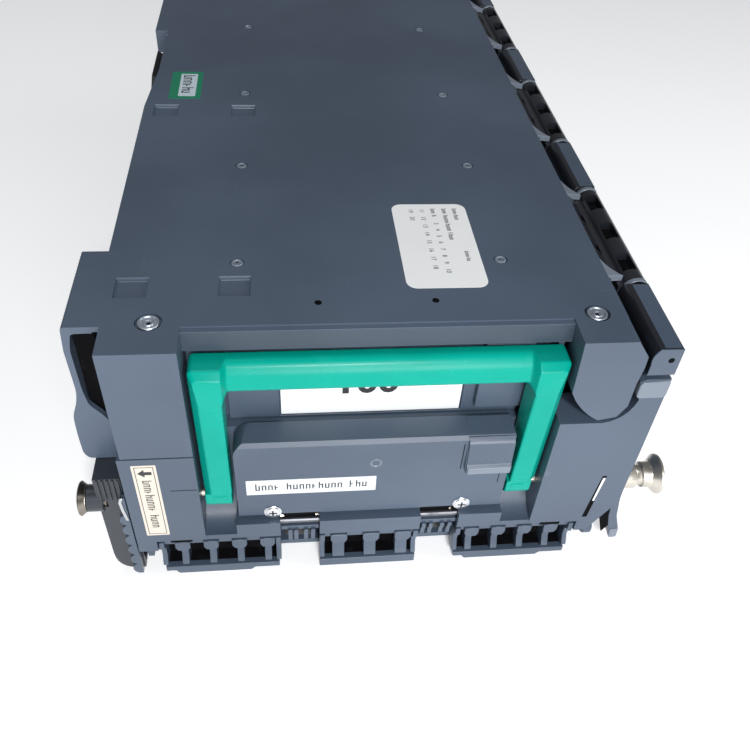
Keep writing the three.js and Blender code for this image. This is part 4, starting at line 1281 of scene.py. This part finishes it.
class Print:
    """Generic print: rows of plain strokes that stand for words, and plain numbers."""

    sink = 0.05

    def __init__(self, origin: Sequence[float], run: Sequence[float], rise: Sequence[float]) -> None:
        """Set the plane of the print.

        Args:
            origin: the print's origin, in millimetres.
            run: the unit direction that a row runs in.
            rise: the unit direction that points to the row's top.
        """
        self.origin = np.asarray(origin, float)
        self.axes = np.array([run, rise, np.cross(run, rise)], float)

    def put(self, flat: Array) -> Array:
        """Return points of the print's own plane, in millimetres, as points of the object in metres."""
        return (self.origin + flat @ self.axes) * MM

    def strokes(self, boxes: Array, lift: float = 0.04) -> Mesh:
        """Return thin boxes, each given by its left, bottom, right and top."""
        left, bottom, right, top = np.asarray(boxes, float).T
        corners = np.array([(left, bottom), (right, bottom), (right, top), (left, top)]).transpose(2, 0, 1)
        low = np.concatenate([corners, np.full((*corners.shape[:2], 1), -self.sink)], axis=2)
        high = np.concatenate([corners, np.full((*corners.shape[:2], 1), lift)], axis=2)
        points = np.concatenate([low, high], axis=1).reshape(-1, 3)
        base = np.arange(len(left))[:, None, None] * 8
        box = np.array([(0, 3, 2, 1), (4, 5, 6, 7), (0, 1, 5, 4), (1, 2, 6, 5), (2, 3, 7, 6), (3, 0, 4, 7)])
        return self.put(points), [tuple(face) for face in (base + box).reshape(-1, 4).tolist()]

    def words(self, place: tuple[float, float], height: float, lengths: Sequence[int]) -> Mesh:
        """Return a row of words, each made of letter-sized groups of two posts and a bar."""
        cell, thick = height * 0.62, height * 0.13
        boxes = []
        at = place[0]
        for word, length in enumerate(lengths):
            for i in range(length):
                kind = (7 * i + 3 * word) % 5
                tall = height if i == 0 or kind == 3 else height * 0.72
                x0, x1, y0 = at, at + cell * 0.72, place[1]
                middle = y0 + tall * (0.0, 0.42, 0.86, 0.5, 0.86)[kind]
                boxes.append((x0, y0, x0 + thick, y0 + tall))
                boxes.append((x0 + thick, middle, x1 - thick, middle + thick))
                if kind != 1:
                    boxes.append((x1 - thick, y0, x1, y0 + height * 0.72))
                at += cell
            at += cell * 0.9
        return self.strokes(np.array(boxes))

    def number(self, text: str, place: tuple[float, float], height: float, bold: float = 0.0) -> Mesh:
        """Return a plain number of the given height, in Blender's own plain typeface."""
        curve = bpy.data.curves.new("number", "FONT")
        curve.body, curve.size, curve.offset = text, height * 1.38, bold
        curve.resolution_u = 4
        holder = bpy.data.objects.new("number", curve)
        bpy.context.scene.collection.objects.link(holder)
        graph = bpy.context.evaluated_depsgraph_get()
        mesh = bpy.data.meshes.new_from_object(holder.evaluated_get(graph))
        bpy.data.objects.remove(holder)
        flat = np.zeros(len(mesh.vertices) * 3)
        mesh.vertices.foreach_get("co", flat)
        flat = flat.reshape(-1, 3) + np.array([*place, 0.04])
        return self.put(flat), [tuple(face.vertices) for face in mesh.polygons]

    def shape(self, outline: Sequence[Sequence[float]], lift: float = 0.04) -> Mesh:
        """Return a thin flat shape."""
        flat = np.asarray(outline, float)
        count = len(flat)
        low = np.column_stack([flat, np.full(count, -self.sink)])
        high = np.column_stack([flat, np.full(count, lift)])
        return self.put(np.concatenate([low, high])), capped(2, count)


@dataclass
class Labels:
    """The labels, with generic print."""

    lid_sheet: tuple[float, float] = (TOP - 0.2, TOP - 0.06)
    lid_field: tuple[float, float] = (TOP - 0.1, TOP - 0.04)
    part_x: tuple[float, float] = (13.2, 48.0)
    part_depth: tuple[float, float] = (36.2, 99.8)
    push_x: tuple[float, float] = (-98.2, -80.8)
    push_depth: tuple[float, float] = (208.7, 243.5)
    side_x: tuple[float, float] = (-103.3, -93.0)
    side_drop: tuple[float, float] = (63.0, 113.0)
    tape_x: tuple[float, float] = (-56.6, 1.6)
    tape_drop: tuple[float, float] = (80.0, 90.0)

    def build(self) -> None:
        """Stick each label on its face."""
        self.part_label()
        self.push_label()
        self.side_label()
        self.tape_label()
        self.card()

    def part_label(self) -> None:
        """Stick the white label on the lid: rows of words, and a grid of numbers that runs to the front."""
        (x0, x1), (d0, d1) = self.part_x, self.part_depth
        sheet = rounded((x0, back(d0)), (x1, back(d1)), 4.6)
        piece("part_label", carried(sheet, self.lid_sheet, Axis.Z), "lid", Finishes.WHITE, (), 0)
        face = Print((0.0, back(d1 - 4.0), TOP - 0.05), (0, -1, 0), (1, 0, 0))
        rows = [face.words((0.0, x1 - 6.4), 2.2, (7,)), face.words((34.0, x1 - 6.4), 2.0, (6,))]
        rows.append(face.words((0.0, x1 - 11.4), 2.3, (3, 9, 4)))
        rows.append(face.words((0.0, x1 - 16.6), 2.2, (3, 1)))
        rows += [face.number(str(n), (11.5 + 5.0 * (n - 3), x1 - 16.6), 2.2) for n in range(3, 11)]
        rows += [face.number(str(n), (0.2 + 6.2 * (n - 11), x1 - 21.8), 2.2) for n in range(11, 19)]
        rows += [face.number(str(n), (0.2 + 6.2 * (n - 19), x1 - 27.0), 2.2) for n in range(19, 21)]
        piece("part_label_print", together(rows), "lid", Finishes.INK, (), 0)

    def push_label(self) -> None:
        """Stick the green label beside the latch, with a pale field."""
        (x0, x1), (d0, d1) = self.push_x, self.push_depth
        sheet = rounded((x0, back(d0)), (x1, back(d1)), 1.0)
        piece("latch_label", carried(sheet, self.lid_sheet, Axis.Z), "lid", Finishes.GREEN, (), 0)
        field_sheet = rounded((x0 + 5.0, back(d0 + 3.0)), (x1 - 3.0, back(d1 - 3.0)), 0.6)
        field_piece = carried(field_sheet, self.lid_field, Axis.Z)
        piece("latch_label_field", field_piece, "lid", Finishes.PALE_BLUE, (), 0)
        face = Print((0.0, back(d1 - 5.0), TOP - 0.04), (0, -1, 0), (1, 0, 0))
        piece("latch_label_print", face.words((0.0, x0 + 6.6), 6.4, (6,)), "lid", Finishes.INK, (), 0)

    def side_label(self) -> None:
        """Stick the beige label on the left column, with a frame, an arrow and words that run down."""
        (x0, x1), (z0, z1) = self.side_x, self.side_drop
        sheet = rounded((x0, down(z1)), (x1, down(z0)), 0.5)
        piece("side_label", plate(sheet, -0.12, 0.05), "case", Finishes.BEIGE, (), 0)
        face = Print((0.0, back(-0.11), down(z0)), (0, 0, -1), (1, 0, 0))
        face.axes[2] = (0, -1, 0)
        length, width = z1 - z0, x1 - x0
        a, b, c, d = 1.1, length - 1.1, x0 + 1.1, x1 - 1.1
        border = np.array([(a, c, b, c + 0.3), (a, d - 0.3, b, d), (a, c, a + 0.3, d), (b - 0.3, c, b, d)])
        middle = 5.2
        arrow = [
            (middle - 1.0, x1 - 2.2), (middle - 1.0, x0 + 5.0), (middle - 2.5, x0 + 5.0), (middle, x0 + 2.1),
            (middle + 2.5, x0 + 5.0), (middle + 1.0, x0 + 5.0), (middle + 1.0, x1 - 2.2),
        ]
        words = face.words((10.0, x0 + width * 0.33), 4.0, (9, 4))
        marks = together([face.strokes(border), face.shape(arrow), words])
        piece("side_label_print", marks, "case", Finishes.INK, (), 0)

    def tape_label(self) -> None:
        """Stick the silver grey tape on the front cover, with a row of words."""
        (x0, x1), (z0, z1) = self.tape_x, self.tape_drop
        sheet = rounded((x0, down(z1)), (x1, down(z0)), 0.3)
        piece("tape_label", plate(sheet, 2.86, 3.1), "case", Finishes.SILVER, (), 0)
        face = Print((x0 + 4.0, back(2.87), down(z1)), (1, 0, 0), (0, 0, 1))
        piece("tape_label_print", face.words((0.0, 3.0), 4.6, (4, 9, 3)), "case", Finishes.INK, (), 0)

    def card(self) -> None:
        """Print a plain number on the denomination card, behind the handle's bar."""
        low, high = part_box("denomination_card")
        face = Print(((low.x + high.x) / 2 / MM, low.y / MM - 0.02, low.z / MM), (1, 0, 0), (0, 0, 1))
        number = face.number("100", (-16.3, 12.0), 13.5, 0.5)
        piece("denomination_number", number, "case", Finishes.INK, (), 0)


@dataclass
class FrontDetails:
    """Small moulded features on the front, from the cover's hood to the fin at the lower right."""

    dimple: tuple[float, float] = (0.9, 71.0)
    roller_fins: tuple[tuple[float, float, tuple[float, ...]], ...] = (
        (-42.0, -24.0, (-37.7, -34.9, -30.2, -26.8)),
        (24.6, 42.6, (26.9, 30.4, 35.9, 39.6)),
    )

    def build(self) -> None:
        """Build the dimple, the grooves, the roller gaps, the hood, the right plate's slit and the corner."""
        # the dimple's ring carries a painted highlight
        ring = [(0.3, 0.0), (0.3, 2.8), (-0.1, 2.8), (-0.35, 2.5), (-0.35, 2.2), (0.1, 1.6), (0.15, 0.0)]
        centre = (self.dimple[0], back(3.0), down(self.dimple[1]))
        piece("cover_dimple", revolved(ring, centre, Axis.Y, 40), "case", Finishes.CASING_WORN, (), 0)
        lines = [
            block((39.4, 39.8), (back(2.96), back(3.4)), (down(77.5), down(60.5))),
            block((58.2, 58.55), (back(2.96), back(3.4)), (down(88.5), down(79.5))),
            block((-89.0, -77.4), (back(-0.03), back(0.6)), (down(81.1), down(80.7))),
            block((-93.4, -83.4), (back(-0.03), back(0.6)), (down(119.7), down(118.3))),
            block((84.2, 94.2), (back(-0.03), back(0.6)), (down(119.9), down(118.1))),
        ]
        piece("front_grooves", together(lines), "case", Finishes.SHADE, (), 0)
        self.roller_gaps()
        self.hood()
        self.right_plate_slit()
        # the hood's lower lip carries a painted highlight
        lip = softened(side_view([(-0.9, 73.2), (-0.9, 77.2), (0.2, 77.7), (0.2, 72.8)]), 0.4, 3)
        piece("cover_hood_lip", carried(lip, (42.0, 61.4), Axis.X), "case", Finishes.CASING_WORN, (), 0.2)
        self.corner()

    def hood(self) -> None:
        """Carry the hood's outline across the cover's right part: a long slope over a square nose."""
        line = [
            (15.0, 55.0), (4.0, 56.4), (1.4, 59.5), (0.5, 72.0), (-0.5, 73.0), (-0.6, 76.6), (0.8, 77.8),
            (3.6, 77.8),
        ]
        side = softened(side_view(line), (0.5, 2, 1.4, 0.5, 0.5, 0.6, 0.5, 0.2), 4)
        piece("cover_hood", carried(side, (41.4, 61.8), Axis.X), "case", Finishes.CASING_SMOOTH, (), 0.5, 3)

    def right_plate_slit(self) -> None:
        """Lay the right plate's leaning slit in painted deep shade, with a painted highlight in its upper
        part.
        """
        slit = front_view([(107.2, 83.5), (109.3, 83.5), (107.0, 115), (104.6, 115)])
        piece("right_plate_slit", plate(slit, -0.04, 0.5), "case", Finishes.SHADE, (), 0)
        # painted highlight: a white strip in the slit where the light catches its edge
        slit_highlight = front_view([(107.7, 85.0), (108.9, 85.0), (107.5, 102), (106.6, 102)])
        piece("right_plate_painted_highlight", plate(slit_highlight, -0.3, 0.3), "case", Finishes.WHITE, (), 0.1)

    def roller_gaps(self) -> None:
        """Build the ledge and the small fins that stand in front of the rollers, between the combs."""
        line = [(2.2, 29.6), (2.2, 26.8), (3.6, 24.6), (3.9, 19.6), (6.4, 19.6), (6.4, 29.6)]
        side = np.array([(back(depth), z) for depth, z in line])
        ledges, fins = [], []
        for x0, x1, places in self.roller_fins:
            ledges.append(block((x0, x1), (back(3.6), back(6.4)), (28.6, 31.2)))
            fins += [carried(side, (x - 1.05, x + 1.05), Axis.X) for x in places]
        piece("roller_gap_ledges", together(ledges), "case", Finishes.CASING, (), 0.3)
        piece("roller_gap_fins", together(fins), "case", Finishes.CASING, (), 0.25)

    def corner(self) -> None:
        """Build the flared fin at the lower right, the dark web behind it and the block under the hinge."""
        outer = [(120.5, 90.0), (121.2, 103.0), (123.4, 117.0), (127.0, 127.6), (127.4, 134.4)]
        inner = [(123.4, 134.6), (121.6, 127.4), (119.0, 117.0), (117.6, 104.0), (117.4, 90.0)]
        fin = softened(front_view(outer + inner), 2.0, 4)
        piece("corner_fin", plate(fin, 0.6, 34), "case", Finishes.CASING, (), 0.4)
        web = [(109.0, 104.0), (119.6, 98.0), (121.2, 126.0), (116.0, 131.6), (110.0, 132.0), (107.6, 126.4)]
        piece("corner_web", plate(front_view(web), 9.0, 15.6), "case", Finishes.SHADE, (), 0.3)
        recess = front_view([(112.6, 110), (118.4, 99), (121.6, 124), (118.6, 130)])
        piece("corner_recess", plate(recess, 1.2, 2.4), "case", Finishes.SHADE, (), 0)
        # the fin's tip carries a painted highlight
        tip = softened(front_view([(122.6, 127.6), (126.9, 127.2), (127.3, 134.3), (123.2, 134.5)]), 1.0, 3)
        piece("corner_fin_tip", plate(tip, 0.2, 3.0), "case", Finishes.CASING_WORN, (), 0.3)
        wheel = [(-2.4, 0.0), (-2.4, 3.6), (-1.8, 4.2), (1.8, 4.2), (2.4, 3.6), (2.4, 0.0)]
        centre = (111.6, back(6.0), down(130.2))
        piece("corner_wheel", revolved(wheel, centre, Axis.X, 36), "case", Finishes.CASING_SMOOTH, (), 0)
        # the block under the hinge carries a painted highlight
        end = softened(front_view([(107.4, 31.4), (107.4, 22.2), (120.3, 21.2), (120.3, 31.4)]), 2.2, 5)
        piece("hinge_end_block", plate(end, -0.9, 6.0), "case", Finishes.CASING_WORN, (), 0.6, 3)


@dataclass
class LeftSide:
    """The toothed slide with its leaf spring, and the ribs on the drive cover."""

    slide_x: float = -109.3
    bottom: float = 3.0
    top: float = 50.0
    bumps: int = 6

    def build(self) -> None:
        """Build the slide, the leaf spring and the ribs."""
        z = np.linspace(self.bottom, self.top, 85)
        wave = np.abs(np.sin((z - self.bottom) / (self.top - self.bottom) * self.bumps * np.pi)) ** 0.6
        left = np.column_stack([self.slide_x - 2.0 - 2.5 * wave, z])
        right = [(self.slide_x - 2.4, 61.8), (self.slide_x, 61.8), (self.slide_x, self.bottom)]
        slide = plate(np.concatenate([left, right]), 0.3, 3.4)
        piece("toothed_slide", slide, "shutter", Finishes.CASING_SMOOTH, ("shutter_slide",), 0.3)
        bend = np.array([(0.0, 63.0), (-0.9, 60.0), (-0.5, 54.0), (0.5, 47.0)])
        leaf = np.concatenate([bend + (-111.2, 0.0), bend[::-1] + (-109.9, 0.0)])
        piece("slide_leaf_spring", plate(leaf, -0.35, 0.25), "shutter", Finishes.PLATE, (), 0.1)
        places = np.arange(-120.6, -110.0, 2.2)
        ribs = [block((x, x + 0.9), (back(3.1), back(4.3)), (57.5, 71.0)) for x in places]
        piece("drive_cover_ribs", together(ribs), "case", Finishes.DARK, (), 0.2)


@dataclass
class Shells:
    """The mouldings that keep the frame's shape with rounded edges, and the plain inner parts."""

    rounded_nodes: tuple[tuple[str, str, float], ...] = (
        ("base_tray", "case", 0.4),
        ("right_side_wall", "case", 0.4),
        ("front_bulkhead", "case", 0.4),
        ("front_cover", "case", 0.6),
        ("label_holder", "case", 0.35),
        ("drive_cover", "case", 0.5),
        ("lid_latch", "latch", 0.4),
        ("note_push_plate", "push", 0.3),
        ("push_carriage", "push", 0.4),
        ("stack_floor", "case", 0.3),
        ("rear_connector", "case", 0.4),
    )

    def build(self) -> None:
        """Round the mouldings and give every other part its finish."""
        dark = {"drive_cover", "note_push_plate", "stack_floor"}
        black = {"lid_latch", "push_carriage", "rear_connector"}
        barrels = block((107.7, 125.0), (back(-2), back(426)), (down(18.0), TOP + 2))
        for node, body, edge in self.rounded_nodes:
            finish = Finishes.BLACK if node in black else Finishes.DARK if node in dark else Finishes.CASING
            moulded(node, body, finish, edge, 3, (barrels,) if node == "right_side_wall" else ())
        axles = ("feed", "separation", "pickup")
        rollers = [f"{a}_roller_{side}" for a in axles for side in ("left", "right")]
        repaint([*rollers, "push_belt"], Finishes.RUBBER)
        gears = [f"{a}_gear" for a in (*axles, "input", "push")] + [f"{a}_bush" for a in (*axles, "push")]
        repaint([*gears, "push_pulley_front", "push_pulley_rear"], Finishes.IVORY)
        pins = [f"{a}_shaft" for a in (*axles, "push")] + ["input_gear_pin", "rear_pulley_pin", "latch_pin"]
        pins += ["handle_pin_left", "handle_pin_right", "lid_hinge_pin", "guide_rod_left", "guide_rod_right"]
        repaint(pins, Finishes.STEEL)
        repaint(["guard_bar_left", "guard_bar_right"], Finishes.DULL)
        repaint(["latch_spring", "rod_bracket_front", "rod_bracket_rear"], Finishes.PLATE)
        repaint(["denomination_card"], Finishes.WHITE)


@dataclass
class CoverScrews:
    """The two pan screws that hold the front cover."""

    depth: float = 2.7
    drop: float = 103.0
    head: float = 3.2
    washer: float = 4.1
    places: tuple[tuple[str, float], ...] = (("left", -45.4), ("right", 43.3))

    def build(self) -> None:
        """Set both screws in the cover's front."""
        for side, x in self.places:
            screw = Screw((x, back(self.depth), down(self.drop)), Axis.Y, -1, self.head, self.washer)
            screw.build(f"cover_{side}_pan_screw", "case", f"cover_screw_{side}")


def main() -> None:
    """Build the sub-assemblies in order."""
    logging.basicConfig(level=logging.INFO, format="%(name)s %(message)s")
    parts = (
        Studio, Shells, LidTop, LidEar, CarryHandle, Combs, GuideStud, HingeLine, Labels, FrontDetails,
        LeftSide, CoverScrews,
    )
    for part in parts:
        LOG.info("%s", part.__name__)
        part().build()


if __name__ == "__main__":
    main()
